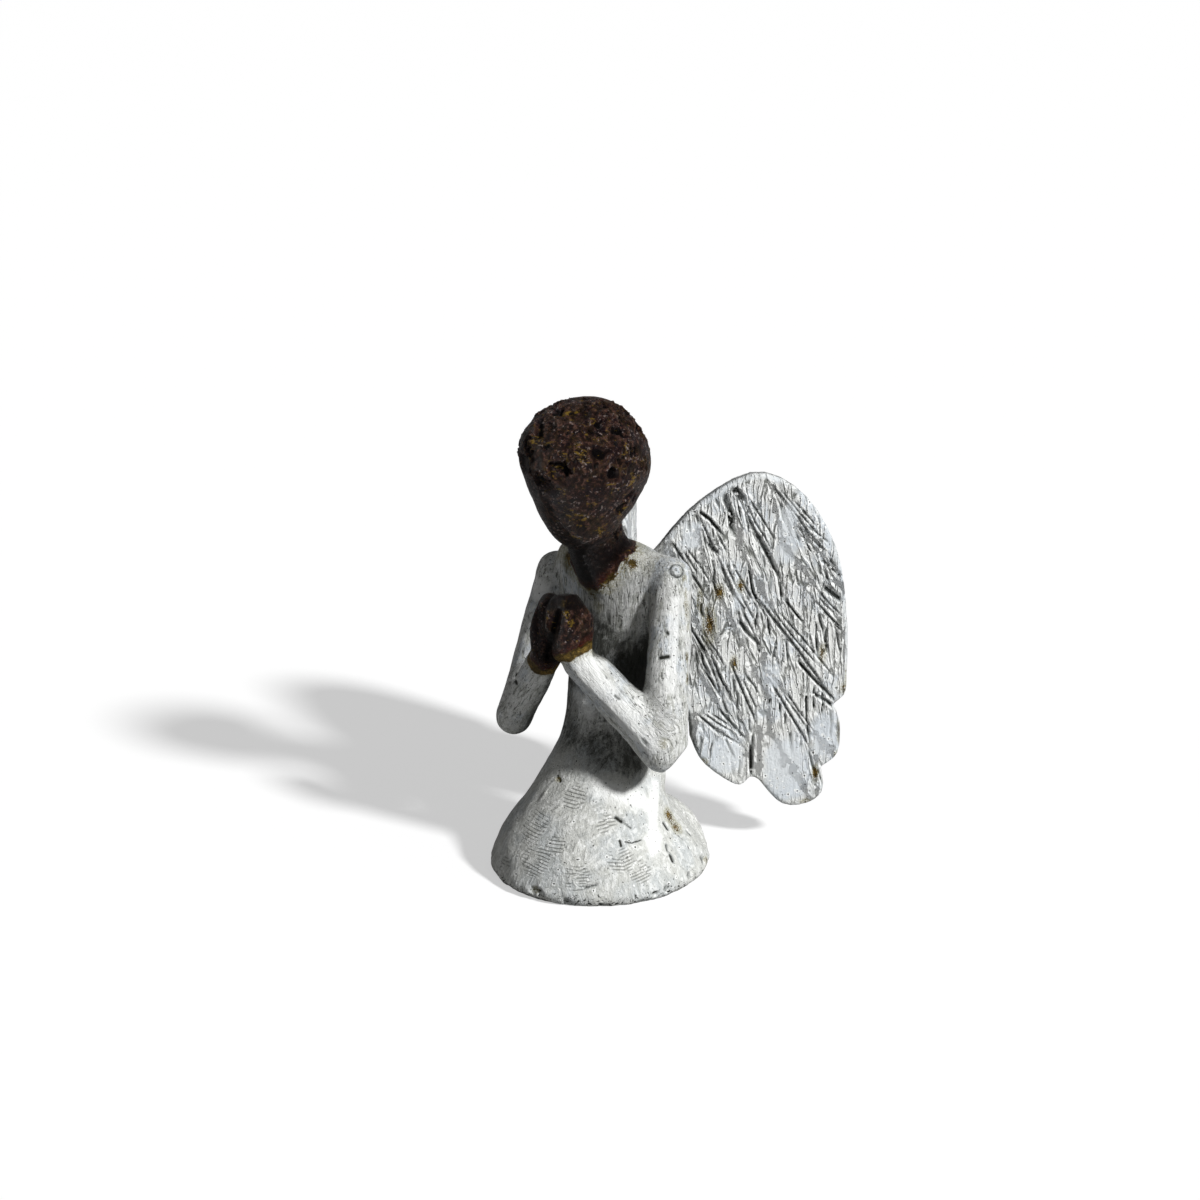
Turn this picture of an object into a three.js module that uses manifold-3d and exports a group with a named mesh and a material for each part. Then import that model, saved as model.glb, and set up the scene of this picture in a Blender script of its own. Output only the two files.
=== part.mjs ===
// Praying angel: a small statuette cast in metal as one piece and painted white, with brown skin.
// The figure kneels in a bell-shaped robe with its hands together under its chin, and two flat wings,
// carved with feather strokes, stand out and back from its shoulders.
// Millimetres, +Z up. The figure faces -Y, its left side is +X, and its underside lies on z = 0.
import * as THREE from "three";
import { mergeVertices } from "three/addons/utils/BufferGeometryUtils.js";
import Module from "manifold-3d";

// Driving dimensions
const HEM = { halfWidth: 16.6, halfDepth: 17.3, middle: -0.5, lip: 1.2 };
const TRAIN = { halfWidth: 15.7, halfDepth: 15.4, middle: 1.4, height: 10.7, tuck: 3.2 };
const SHOULDER = {
  left: { place: [11.2, 3, 47.6], radius: 2.9 },
  right: { place: [-11.1, 2.2, 44], radius: 3.2 },
};
const ELBOW = {
  left: { place: [14.6, -2.8, 23.3], radius: 3.65 },
  right: { place: [-14.1, -4.6, 21.6], radius: 2.75 },
};
const WRIST = {
  left: { place: [3.3, -8.2, 35.8], radius: 3 },
  right: { place: [-3.3, -9.2, 34.6], radius: 2.4 },
};
const HAND = {
  left: { place: [2.1, -9.3, 41.1], half: [3.2, 4.1, 5.4] },
  right: { place: [-2.1, -9.3, 39.3], half: [2.1, 3.2, 5.9] },
  squareness: 0.8,
};
// What joins the main forms: the neck with the throat in front of it, the ridge of the left shoulder,
// and the metal left between the left arm and the trunk.
const JOINS = {
  neck: { from: [0, 2.7, 45.5], to: [0, -1.4, 56.5], startRadius: 3.5, endRadius: 3.2 },
  throat: { from: [0, 0.8, 46.5], to: [0, -4.3, 55.3], startRadius: 4.1, endRadius: 3.4 },
  shoulder: { from: [2, 2.7, 47.4], to: [11.2, 3, 47.6], startRadius: 3.1, endRadius: 2.9 },
  web: { from: [9.6, 2.8, 45], to: [10.8, 0.8, 30], startRadius: 2, endRadius: 2 },
};
const HEAD = { middle: [0.2, -3.9, 62.65], half: [8.4, 9.8, 11.35] };
// The egg's girth grows from its chin to its brow, as shares of the head's half height.
const EGG = { chin: -0.8, brow: 0.5, narrow: 0.8, broad: 1.12, nod: 0.06, nodAt: 0.55, lumps: 0.025 };
// A swelling of the forehead on the figure's right, in the egg's own proportions.
const BROW = { toward: [-0.55, -0.5, 0.8], reach: 0.4, height: 0.045 };
const WING = { root: [2, 6], sweep: 52, thickness: 2, edge: 0.5 };
const QUILL_CUT = { width: 1, depth: 0.7, widest: [0.12, 0.85] };
const BARB_CUT = { width: 0.9, depth: 0.5, widest: [0.4], below: 0.7, lean: 0.4, sway: 0.5, uneven: 0.15 };
const BACK_CUT = { width: 0.9, depth: 0.5, widest: [0.15, 0.7] };
const BACK_FAN = { hub: [6, 38], start: 4, count: 7, top: 48, spread: 112, stray: 3, reach: 12, extra: 9 };

const wasm = await Module();
wasm.setup();

// A closed geometry as a solid that can be joined and cut.
function solid(geometry) {
  const bare = geometry.index ? geometry.toNonIndexed() : geometry.clone();
  bare.deleteAttribute("normal");
  bare.deleteAttribute("uv");
  const merged = mergeVertices(bare, 1e-4);
  const mesh = new wasm.Mesh({
    numProp: 3,
    vertProperties: new Float32Array(merged.attributes.position.array),
    triVerts: new Uint32Array(merged.index.array),
  });
  return new wasm.Manifold(mesh);
}

function geometryOf(made) {
  const mesh = made.getMesh();
  const geometry = new THREE.BufferGeometry();
  geometry.setAttribute("position", new THREE.BufferAttribute(mesh.vertProperties, 3));
  geometry.setIndex(new THREE.BufferAttribute(mesh.triVerts, 1));
  geometry.computeVertexNormals();
  return geometry;
}

// Moves every vertex of a geometry to where the function puts it.
function reshape(geometry, move) {
  const position = geometry.attributes.position;
  const point = new THREE.Vector3();
  for (let i = 0; i < position.count; i++) {
    move(point.fromBufferAttribute(position, i));
    position.setXYZ(i, point.x, point.y, point.z);
  }
  return geometry;
}

const radians = THREE.MathUtils.degToRad;
const vector = (place) => new THREE.Vector3(...place);
const ease = (from, to, share) => THREE.MathUtils.lerp(from, to, THREE.MathUtils.smoothstep(share, 0, 1));
const joined = (solids) => solids.reduce((all, one) => all.add(one));

// The same value from -1 to 1 each time for a whole number: the unevenness of handwork.
function uneven(number) {
  const wave = Math.sin(number * 12.9898) * 43758.5453;
  return 2 * (wave - Math.floor(wave)) - 1;
}

// Robe and trunk: level ovals stacked from the hem to the shoulders, leaning forward over the knees.
function robeAndTrunk() {
  const AROUND = 36;
  const RINGS = 19;
  const ovals = [
    { z: 0, halfWidth: 0.94 * HEM.halfWidth, halfDepth: 0.94 * HEM.halfDepth, middle: HEM.middle },
    { z: HEM.lip, halfWidth: HEM.halfWidth, halfDepth: HEM.halfDepth, middle: HEM.middle },
    { z: 2.6, halfWidth: 16.2, halfDepth: 16.7, middle: -0.6 },
    { z: 6, halfWidth: 14.2, halfDepth: 14.4, middle: -1.5 },
    { z: 10, halfWidth: 11.5, halfDepth: 11.4, middle: -1.6 },
    { z: 14, halfWidth: 9.9, halfDepth: 9.7, middle: 0.1 },
    { z: 19, halfWidth: 8.6, halfDepth: 7.6, middle: 2.0 },
    { z: 24, halfWidth: 7.9, halfDepth: 6.2, middle: 2.5 },
    { z: 30, halfWidth: 7.6, halfDepth: 5.4, middle: 2.6 },
    { z: 37, halfWidth: 8.4, halfDepth: 5.0, middle: 2.7 },
    { z: 43, halfWidth: 9.8, halfDepth: 4.6, middle: 2.7 },
    { z: 47, halfWidth: 10.8, halfDepth: 4.4, middle: 2.6 },
    { z: 49.6, halfWidth: 9, halfDepth: 3.9, middle: 2.5 },
    { z: 51, halfWidth: 5.6, halfDepth: 2.8, middle: 2.3 },
  ];
  const curveOf = (key) => new THREE.SplineCurve(ovals.map((oval) => new THREE.Vector2(oval.z, oval[key])));
  const halfWidth = curveOf("halfWidth");
  const halfDepth = curveOf("halfDepth");
  const middle = curveOf("middle");
  const made = new THREE.CylinderGeometry(1, 1, 1, AROUND, RINGS).rotateX(Math.PI / 2);
  const stack = (p) => {
    const share = p.z + 0.5;
    const width = halfWidth.getPoint(share);
    p.x *= width.y;
    p.y = p.y * halfDepth.getPoint(share).y + middle.getPoint(share).y;
    p.z = width.x;
  };
  return solid(reshape(made, stack));
}

// The back of the robe, a low dome over the feet tucked behind.
function train() {
  const made = new THREE.SphereGeometry(1, 36, 14).rotateX(Math.PI / 2);
  const swell = (p) => {
    p.x *= TRAIN.halfWidth;
    p.y = p.y * TRAIN.halfDepth + TRAIN.middle;
    p.z = p.z * (p.z > 0 ? TRAIN.height : TRAIN.tuck) + HEM.lip;
  };
  return solid(reshape(made, swell));
}

// A round limb with round ends, from one point to another.
function limb(from, to, startRadius, endRadius) {
  const AROUND = 12;
  const ROUND = 3;
  const length = from.distanceTo(to);
  const profile = [];
  for (let i = 0; i <= ROUND; i++) {
    const turn = (Math.PI / 2) * (i / ROUND);
    profile.push(new THREE.Vector2(startRadius * Math.sin(turn), -startRadius * Math.cos(turn)));
  }
  for (let i = 0; i <= ROUND; i++) {
    const turn = (Math.PI / 2) * (i / ROUND);
    profile.push(new THREE.Vector2(endRadius * Math.cos(turn), length + endRadius * Math.sin(turn)));
  }
  profile.at(0).x = 0;
  profile.at(-1).x = 0;
  const along = to.clone().sub(from).normalize();
  const turn = new THREE.Quaternion().setFromUnitVectors(new THREE.Vector3(0, 1, 0), along);
  const made = new THREE.LatheGeometry(profile, AROUND).applyQuaternion(turn);
  return solid(made.translate(from.x, from.y, from.z));
}

function arm(side) {
  const [shoulder, elbow, wrist] = [SHOULDER[side], ELBOW[side], WRIST[side]];
  const bend = vector(elbow.place);
  const upper = limb(vector(shoulder.place), bend, shoulder.radius, elbow.radius);
  return upper.add(limb(bend, vector(wrist.place), elbow.radius, wrist.radius));
}

// A hand: a closed fist with soft corners, a ball pushed out towards a box of the same size.
function hand(side) {
  const half = vector(HAND[side].half);
  const middle = vector(HAND[side].place);
  const made = new THREE.SphereGeometry(1, 14, 10).rotateX(Math.PI / 2);
  const square = (value) => Math.sign(value) * Math.abs(value) ** HAND.squareness;
  const push = (p) => p.set(square(p.x), square(p.y), square(p.z)).multiply(half).add(middle);
  return solid(reshape(made, push));
}

// Head: an egg on its small end, uneven all over and pitted, with only a hint of brow and nose.
function head() {
  const middle = vector(HEAD.middle);
  const half = vector(HEAD.half);
  const brow = vector(BROW.toward).normalize();
  const girthAt = (height) => ease(EGG.narrow, EGG.broad, (height - EGG.chin) / (EGG.brow - EGG.chin));
  const made = new THREE.SphereGeometry(1, 26, 16).rotateX(Math.PI / 2);
  const egg = (p) => {
    const lumps = Math.sin(3 * p.x + 1) * Math.sin(4 * p.y) * Math.sin(3.5 * p.z + 2);
    const girth = girthAt(p.z) * (1 + EGG.lumps * lumps);
    const forward = EGG.nod * Math.cos((2 * Math.PI * (p.z - EGG.nodAt)) / (EGG.brow - EGG.chin));
    const swell = 1 + BROW.height * Math.exp(-((p.distanceTo(brow) / BROW.reach) ** 2));
    p.set(p.x * girth * swell, (p.y * girth - forward) * swell, p.z * swell).multiply(half).add(middle);
  };
  const pits = [
    { turn: 62, rise: 12, radius: 1.9 },
    { turn: 74, rise: -8, radius: 1.3 },
    { turn: 66, rise: 40, radius: 1.7 },
    { turn: 112, rise: 22, radius: 1.5 },
    { turn: 100, rise: -18, radius: 1.5 },
    { turn: 22, rise: 16, radius: 1.7 },
    { turn: -22, rise: 16, radius: 1.7 },
    { turn: 20, rise: 48, radius: 1.4 },
    { turn: -60, rise: 30, radius: 1.6 },
    { turn: -100, rise: 5, radius: 1.6 },
    { turn: 160, rise: 30, radius: 1.7 },
    { turn: -150, rise: 8, radius: 1.5 },
  ];
  const SUNK = 0.35;
  return pits.reduce((egged, pit) => {
    const out = new THREE.Vector3(0, -1, 0);
    out.applyAxisAngle(new THREE.Vector3(1, 0, 0), radians(-pit.rise));
    out.applyAxisAngle(new THREE.Vector3(0, 0, 1), radians(pit.turn));
    const girth = girthAt(out.z);
    const skin = new THREE.Vector3(out.x * girth, out.y * girth, out.z).multiply(half).add(middle);
    skin.addScaledVector(out, (1 - SUNK) * pit.radius);
    const ball = new THREE.SphereGeometry(pit.radius, 8, 6).translate(skin.x, skin.y, skin.z);
    return egged.subtract(solid(ball));
  }, solid(reshape(made, egg)));
}

// A wing's outline, from its root outward and up: a round leading edge, then four feather ends.
function wingOutline() {
  const leadingEdge = [
    [2.7, 49.6], [9, 56.2], [17.6, 60.4], [25, 56.8], [30.3, 48], [32.3, 36.7], [32.5, 26],
  ];
  const featherEnds = [
    [[32.1, 24.4], [30.4, 23]],
    [[31.6, 20], [31.4, 15], [28.8, 12.8]],
    [[29.2, 9], [26.8, 6.9], [22.6, 7.1], [19, 11.2]],
    [[17.6, 11.9], [15.4, 10.7], [10.2, 14.6], [8.1, 19]],
    [[7.4, 23.4], [4, 27.4]],
  ];
  const outline = new THREE.Shape();
  outline.moveTo(0, 29);
  outline.lineTo(0, 47);
  for (const curve of [leadingEdge, ...featherEnds]) {
    outline.splineThru(curve.map(([out, up]) => new THREE.Vector2(out, up)));
  }
  return outline;
}

// A gouge's stroke: a diamond in section, widest from one share of its length to another.
function gouge(from, to, cut) {
  const length = from.distanceTo(to);
  const profile = [new THREE.Vector2(0, 0)];
  cut.widest.forEach((share) => profile.push(new THREE.Vector2(1, share)));
  profile.push(new THREE.Vector2(0, 1));
  const made = new THREE.LatheGeometry(profile, 4).scale(cut.width / 2, length, cut.depth);
  const turn = Math.atan2(to.y - from.y, to.x - from.x) - Math.PI / 2;
  return made.rotateZ(turn).translate(from.x, from.y, 0);
}

// Feather carving on a wing's front: slanting quills, with strokes that hang down from each.
function quills() {
  return [
    { from: [4.5, 51], to: [10.5, 41], barbs: 3, drop: 7 },
    { from: [8.4, 55.4], to: [18.6, 33.3], barbs: 8, drop: 6.5 },
    { from: [14.1, 58.4], to: [22.5, 42], barbs: 7, drop: 6.5 },
    { from: [19.8, 58.7], to: [28, 47], barbs: 5, drop: 6 },
    { from: [23.6, 52.3], to: [31.6, 43.4], barbs: 3, drop: 5 },
    { from: [6.5, 39], to: [15.5, 23], barbs: 6, drop: 6 },
    { from: [18, 41], to: [30.5, 23.8], barbs: 8, drop: 6.5 },
    { from: [14, 31], to: [18.4, 20.5], barbs: 3, drop: 5 },
    { from: [20, 28], to: [27.5, 15], barbs: 3, drop: 4 },
    { from: [25.5, 42], to: [31.5, 35], barbs: 3, drop: 7 },
    { from: [8.8, 23], to: [16.4, 17], barbs: 3, drop: 4 },
  ];
}

function frontStrokes(seed) {
  const strokes = [];
  quills().forEach((quill, row) => {
    const from = new THREE.Vector2(...quill.from);
    const to = new THREE.Vector2(...quill.to);
    strokes.push(gouge(from, to, QUILL_CUT));
    for (let i = 0; i < quill.barbs; i++) {
      const share = (i + 0.6) / quill.barbs;
      const stray = uneven(seed + 20 * row + i);
      const top = from.clone().lerp(to, share).subScalar(BARB_CUT.below);
      const lean = BARB_CUT.sway * stray - BARB_CUT.lean;
      const drop = quill.drop * (1 + BARB_CUT.uneven * stray);
      strokes.push(gouge(top, new THREE.Vector2(top.x + lean, top.y - drop), BARB_CUT));
    }
  });
  return strokes;
}

// The wings' backs are plainer: a few long strokes that fan out from the root.
function backStrokes(seed) {
  const strokes = [];
  for (let i = 0; i < BACK_FAN.count; i++) {
    const share = i / (BACK_FAN.count - 1);
    const turn = radians(BACK_FAN.top - BACK_FAN.spread * share + BACK_FAN.stray * uneven(seed + i));
    const out = new THREE.Vector2(Math.cos(turn), Math.sin(turn));
    const from = new THREE.Vector2(...BACK_FAN.hub).addScaledVector(out, BACK_FAN.start);
    const to = from.clone().addScaledVector(out, BACK_FAN.reach + BACK_FAN.extra * out.x);
    strokes.push(gouge(from, to, BACK_CUT));
  }
  return strokes;
}

// One wing: side is 1 for the figure's left and -1 for its right.
function wing(side) {
  const sweep = radians(WING.sweep);
  const flat = WING.thickness - 2 * WING.edge;
  const plate = new THREE.ExtrudeGeometry(wingOutline(), {
    depth: flat,
    bevelThickness: WING.edge,
    bevelSize: WING.edge,
    bevelOffset: -WING.edge,
    bevelSegments: 1,
    curveSegments: 3,
  }).translate(0, 0, -flat / 2);
  const face = (side * WING.thickness) / 2;
  const cut = (strokes, level) => strokes.map((stroke) => solid(stroke.translate(0, 0, level)));
  const carving = [...cut(frontStrokes(7 * side), face), ...cut(backStrokes(3 * side), -face)];
  const carved = carving.reduce((left, stroke) => left.subtract(stroke), solid(plate));
  const out = new THREE.Vector3(side * Math.cos(sweep), Math.sin(sweep), 0);
  const up = new THREE.Vector3(0, 0, 1);
  const place = new THREE.Matrix4().makeBasis(out, up, out.clone().cross(up));
  place.setPosition(side * WING.root[0], WING.root[1], 0);
  return solid(geometryOf(carved).applyMatrix4(place));
}

function statuette() {
  const joins = Object.values(JOINS).map((join) => {
    return limb(vector(join.from), vector(join.to), join.startRadius, join.endRadius);
  });
  const whole = joined([
    robeAndTrunk(),
    train(),
    arm("left"),
    arm("right"),
    hand("left"),
    hand("right"),
    ...joins,
    head(),
    wing(1),
    wing(-1),
  ]);
  const BELOW = 20;
  const ground = new THREE.BoxGeometry(100, 100, BELOW).translate(0, 0, -BELOW / 2);
  return geometryOf(whole.subtract(solid(ground)));
}

const paint = new THREE.MeshStandardMaterial({ color: 0xd9d9d4, roughness: 0.62, metalness: 0 });
const angel = new THREE.Mesh(statuette(), paint);
angel.name = "angel";

const group = new THREE.Group();
group.add(angel);

export default group;
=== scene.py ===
import math
import time

import bmesh
import bpy
import numpy as np
from mathutils import Matrix, Vector
from mathutils.bvhtree import BVHTree
from mathutils.kdtree import KDTree


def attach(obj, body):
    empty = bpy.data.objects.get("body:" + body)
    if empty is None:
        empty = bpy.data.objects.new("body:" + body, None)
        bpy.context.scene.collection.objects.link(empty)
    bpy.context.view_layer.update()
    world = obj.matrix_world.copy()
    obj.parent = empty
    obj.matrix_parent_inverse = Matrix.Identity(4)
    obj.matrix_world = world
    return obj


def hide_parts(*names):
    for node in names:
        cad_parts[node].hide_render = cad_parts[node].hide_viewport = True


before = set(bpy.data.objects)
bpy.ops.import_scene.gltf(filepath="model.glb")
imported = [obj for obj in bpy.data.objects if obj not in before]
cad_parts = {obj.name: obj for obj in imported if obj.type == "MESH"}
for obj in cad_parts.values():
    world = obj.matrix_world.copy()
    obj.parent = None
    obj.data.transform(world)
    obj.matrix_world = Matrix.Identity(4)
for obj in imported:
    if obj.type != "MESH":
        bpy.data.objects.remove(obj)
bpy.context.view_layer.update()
mm = 0.001
startedAt = time.time()


def stage(words):
    print(f"{time.time() - startedAt:6.1f} s  {words}")


# Where the photograph was taken from

viewpoint = {
    "azimuth": 42.0,  # degrees, 0 looks along +Y
    "elevation": 18.0,
    "distance": 400 * mm,
    "aim": Vector((-8.56, 9.05, 38.33)) * mm,
    "lens": 78.0,
    "sensor": 36.0,
    "pictureSize": 1200,
}


def outward(azimuth, elevation):  # the way from a middle out to a viewer or a lamp; azimuth 0 is the front
    turn, rise = math.radians(azimuth), math.radians(elevation)
    return Vector((math.sin(turn) * math.cos(rise), -math.cos(turn) * math.cos(rise), math.sin(rise)))


def addCamera():
    away = outward(viewpoint["azimuth"], viewpoint["elevation"])
    data = bpy.data.cameras.new("viewCamera")
    data.lens = viewpoint["lens"]
    data.sensor_width = viewpoint["sensor"]
    data.clip_start = 10 * mm
    data.clip_end = 20
    camera = bpy.data.objects.new("viewCamera", data)
    camera.location = viewpoint["aim"] + viewpoint["distance"] * away
    camera.rotation_euler = away.to_track_quat("Z", "Y").to_euler()
    bpy.context.scene.collection.objects.link(camera)
    bpy.context.scene.camera = camera
    bpy.context.view_layer.update()
    return camera


camera = addCamera()


# Unevenness that is the same on every run

def hashed(column, row, layer, seed):
    mixed = column * np.uint64(73856093) ^ row * np.uint64(19349663) ^ layer * np.uint64(83492791)
    mixed = mixed ^ np.uint64(seed * 15485863 + 977)
    mixed = (mixed ^ (mixed >> np.uint64(15))) * np.uint64(2246822519)
    mixed = (mixed ^ (mixed >> np.uint64(13))) * np.uint64(3266489917)
    return ((mixed >> np.uint64(16)) & np.uint64(0xFFFF)).astype(float) / 0xFFFF


def unevenness(points, size, seed):  # smooth values from -1 to 1, with lumps of about this size
    scaled = points / size + 1000
    cell = np.floor(scaled)
    share = scaled - cell
    share = share * share * (3 - 2 * share)
    cell = cell.astype(np.uint64)
    total = np.zeros(len(points))
    for corner in range(8):
        step = [(corner >> axis) & 1 for axis in range(3)]
        weight = np.ones(len(points))
        for axis in range(3):
            weight *= share[:, axis] if step[axis] else 1 - share[:, axis]
        total += weight * hashed(*(cell[:, axis] + np.uint64(step[axis]) for axis in range(3)), seed)
    return 2 * total - 1


def handwork(points, size, seed, octaves=3):
    total = 0
    for octave in range(octaves):
        total = total + unevenness(points, size / 2 ** octave, seed + octave) / 2 ** octave
    return total / 1.6


def ease(value, low, high):  # 0 below low, 1 above high, smooth between
    share = np.clip((value - low) / (high - low), 0, 1)
    return share * share * (3 - 2 * share)


# The skin of the casting, in millimetres while it is being worked

def readPoints(mesh):
    flat = np.empty(len(mesh.vertices) * 3, np.float32)
    mesh.vertices.foreach_get("co", flat)
    return flat.reshape(-1, 3).astype(float)


def writePoints(mesh, points):
    mesh.vertices.foreach_set("co", points.astype(np.float32).ravel())
    mesh.update()


def bakeModifiers(piece):  # the evaluated mesh takes the place of the piece's own, and the modifiers go
    made = bpy.data.meshes.new_from_object(piece.evaluated_get(bpy.context.evaluated_depsgraph_get()))
    old = piece.data
    piece.modifiers.clear()
    piece.data = made
    bpy.data.meshes.remove(old)


class Skin:
    # Points, faces and edges of one mesh as arrays
    def __init__(self, mesh):
        self.points = readPoints(mesh)
        self.edges = np.empty(len(mesh.edges) * 2, np.int32)
        mesh.edges.foreach_get("vertices", self.edges)
        self.edges = self.edges.reshape(-1, 2)
        self.quads = np.empty(len(mesh.polygons) * 4, np.int32)
        mesh.polygons.foreach_get("vertices", self.quads)
        self.quads = self.quads.reshape(-1, 4)
        self.ties = np.bincount(self.edges.ravel(), minlength=len(self.points)).astype(float)

    def averaged(self, values):
        count = len(values)
        one, other = self.edges[:, 0], self.edges[:, 1]
        columns = [
            np.bincount(one, column[other], count) + np.bincount(other, column[one], count)
            for column in values.reshape(count, -1).T
        ]
        return (np.array(columns).T / self.ties[:, None]).reshape(values.shape)

    def normals(self):
        corner = self.points[self.quads]
        across = np.cross(corner[:, 2] - corner[:, 0], corner[:, 3] - corner[:, 1])
        total = np.zeros_like(self.points)
        for turn in range(4):
            for axis in range(3):
                total[:, axis] += np.bincount(self.quads[:, turn], across[:, axis], len(self.points))
        return total / np.maximum(np.linalg.norm(total, axis=1), 1e-12)[:, None]

    def hollows(self, steps):  # how far each point lies below its smoothed surroundings
        smooth = self.points.copy()
        for step in range(steps):
            smooth = self.averaged(smooth)
        return ((smooth - self.points) * self.normals()).sum(1)

    def lift(self, height):  # moves every point out along its normal
        self.points += self.normals() * height[:, None]


blank = {
    "pitch": 0.24,  # the remeshed grid
    "fillSteps": 50,  # how far inner corners fill up with paint
    "fillShare": 0.9,
    "normalsEvery": 10,  # steps
    "easeSteps": 36,  # how far the facets are rubbed down
    "easeShare": 0.5,
    "foot": 0.05,  # below this the underside is left flat
}


def blankCasting(paint):
    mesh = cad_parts["angel"].data.copy()
    mesh.transform(Matrix.Scale(1 / mm, 4))
    merged = bmesh.new()
    merged.from_mesh(mesh)
    bmesh.ops.remove_doubles(merged, verts=merged.verts, dist=0.001)
    merged.to_mesh(mesh)
    merged.free()
    mesh.materials.clear()
    mesh.materials.append(paint)
    piece = bpy.data.objects.new("angel_casting", mesh)
    bpy.context.scene.collection.objects.link(piece)
    remesh = piece.modifiers.new("evenSkin", "REMESH")
    remesh.mode = "VOXEL"
    remesh.voxel_size = blank["pitch"]
    bakeModifiers(piece)
    return piece


wing = {
    "root": (2.0, 6.0),
    "sweep": math.radians(52),
    "halfThickness": 1.0,
    "core": 0.42,  # skin farther than this from the middle plane belongs to a face
    "rimRound": 0.7,
    "rimWashAndShade": 0.06,  # how deep the edges count as lying, which lays grey wash and painted shade on them
    "edge": {"half": 0.3, "least": 4},  # skin this near to the middle plane and this far out is the edge
    "lobeFade": (0.15, 0.6),  # from the edge inward, where strokes grow to their full depth
    "leading": {"out": 31, "up": 44},  # beyond either, the edge is the leading one, with a smooth band
    "aroundSteps": 14,  # how wide a place's surroundings are when it is asked how far it lies below them
    "clear": 1.45,  # nothing else of the figure comes this near to a wing's middle plane
    "joint": {"least": 3.0, "level": 27.4, "slope": 0.42, "border": 1.4},  # where wing and body part
    "map": {"low": (0, 3), "high": (36, 63), "pitch": 0.08},
    "holeArea": ((5, 32), (8, 58)),
}


def onWing(points, side):  # out from the root, through the plate towards its front, and up
    across, back = side * (points[:, 0] - side * wing["root"][0]), points[:, 1] - wing["root"][1]
    cosine, sine = math.cos(wing["sweep"]), math.sin(wing["sweep"])
    return across * cosine + back * sine, across * sine - back * cosine, points[:, 2]


def wingFront(side):
    return np.array((side * math.sin(wing["sweep"]), -math.cos(wing["sweep"]), 0))


def wingShare(points, side):  # 1 on a wing, 0 on the figure, with a soft border at the root
    out, through, up = onWing(points, side)
    joint = wing["joint"]
    inner = np.maximum(joint["least"], joint["least"] + (joint["level"] - up) * joint["slope"])
    beside = (np.abs(through) < wing["clear"]) & (points[:, 0] * side > 0)
    return ease(out, inner, inner + joint["border"]) * beside


def soften(skin, onWings):
    free = (1 - onWings) * (skin.points[:, 2] > blank["foot"])
    for step in range(blank["fillSteps"]):
        if step % blank["normalsEvery"] == 0:
            normals = skin.normals()
        hollow = ((skin.averaged(skin.points) - skin.points) * normals).sum(1)
        skin.points += normals * (np.maximum(hollow, 0) * free * blank["fillShare"])[:, None]
    before = skin.points.copy()
    for step in range(blank["easeSteps"]):
        skin.points += (skin.averaged(skin.points) - skin.points) * blank["easeShare"] * free[:, None]
    lost = before - skin.points
    for step in range(blank["easeSteps"]):
        lost = skin.averaged(lost)
    skin.points += lost * free[:, None]


# Strokes on a flat map of a wing

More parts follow.
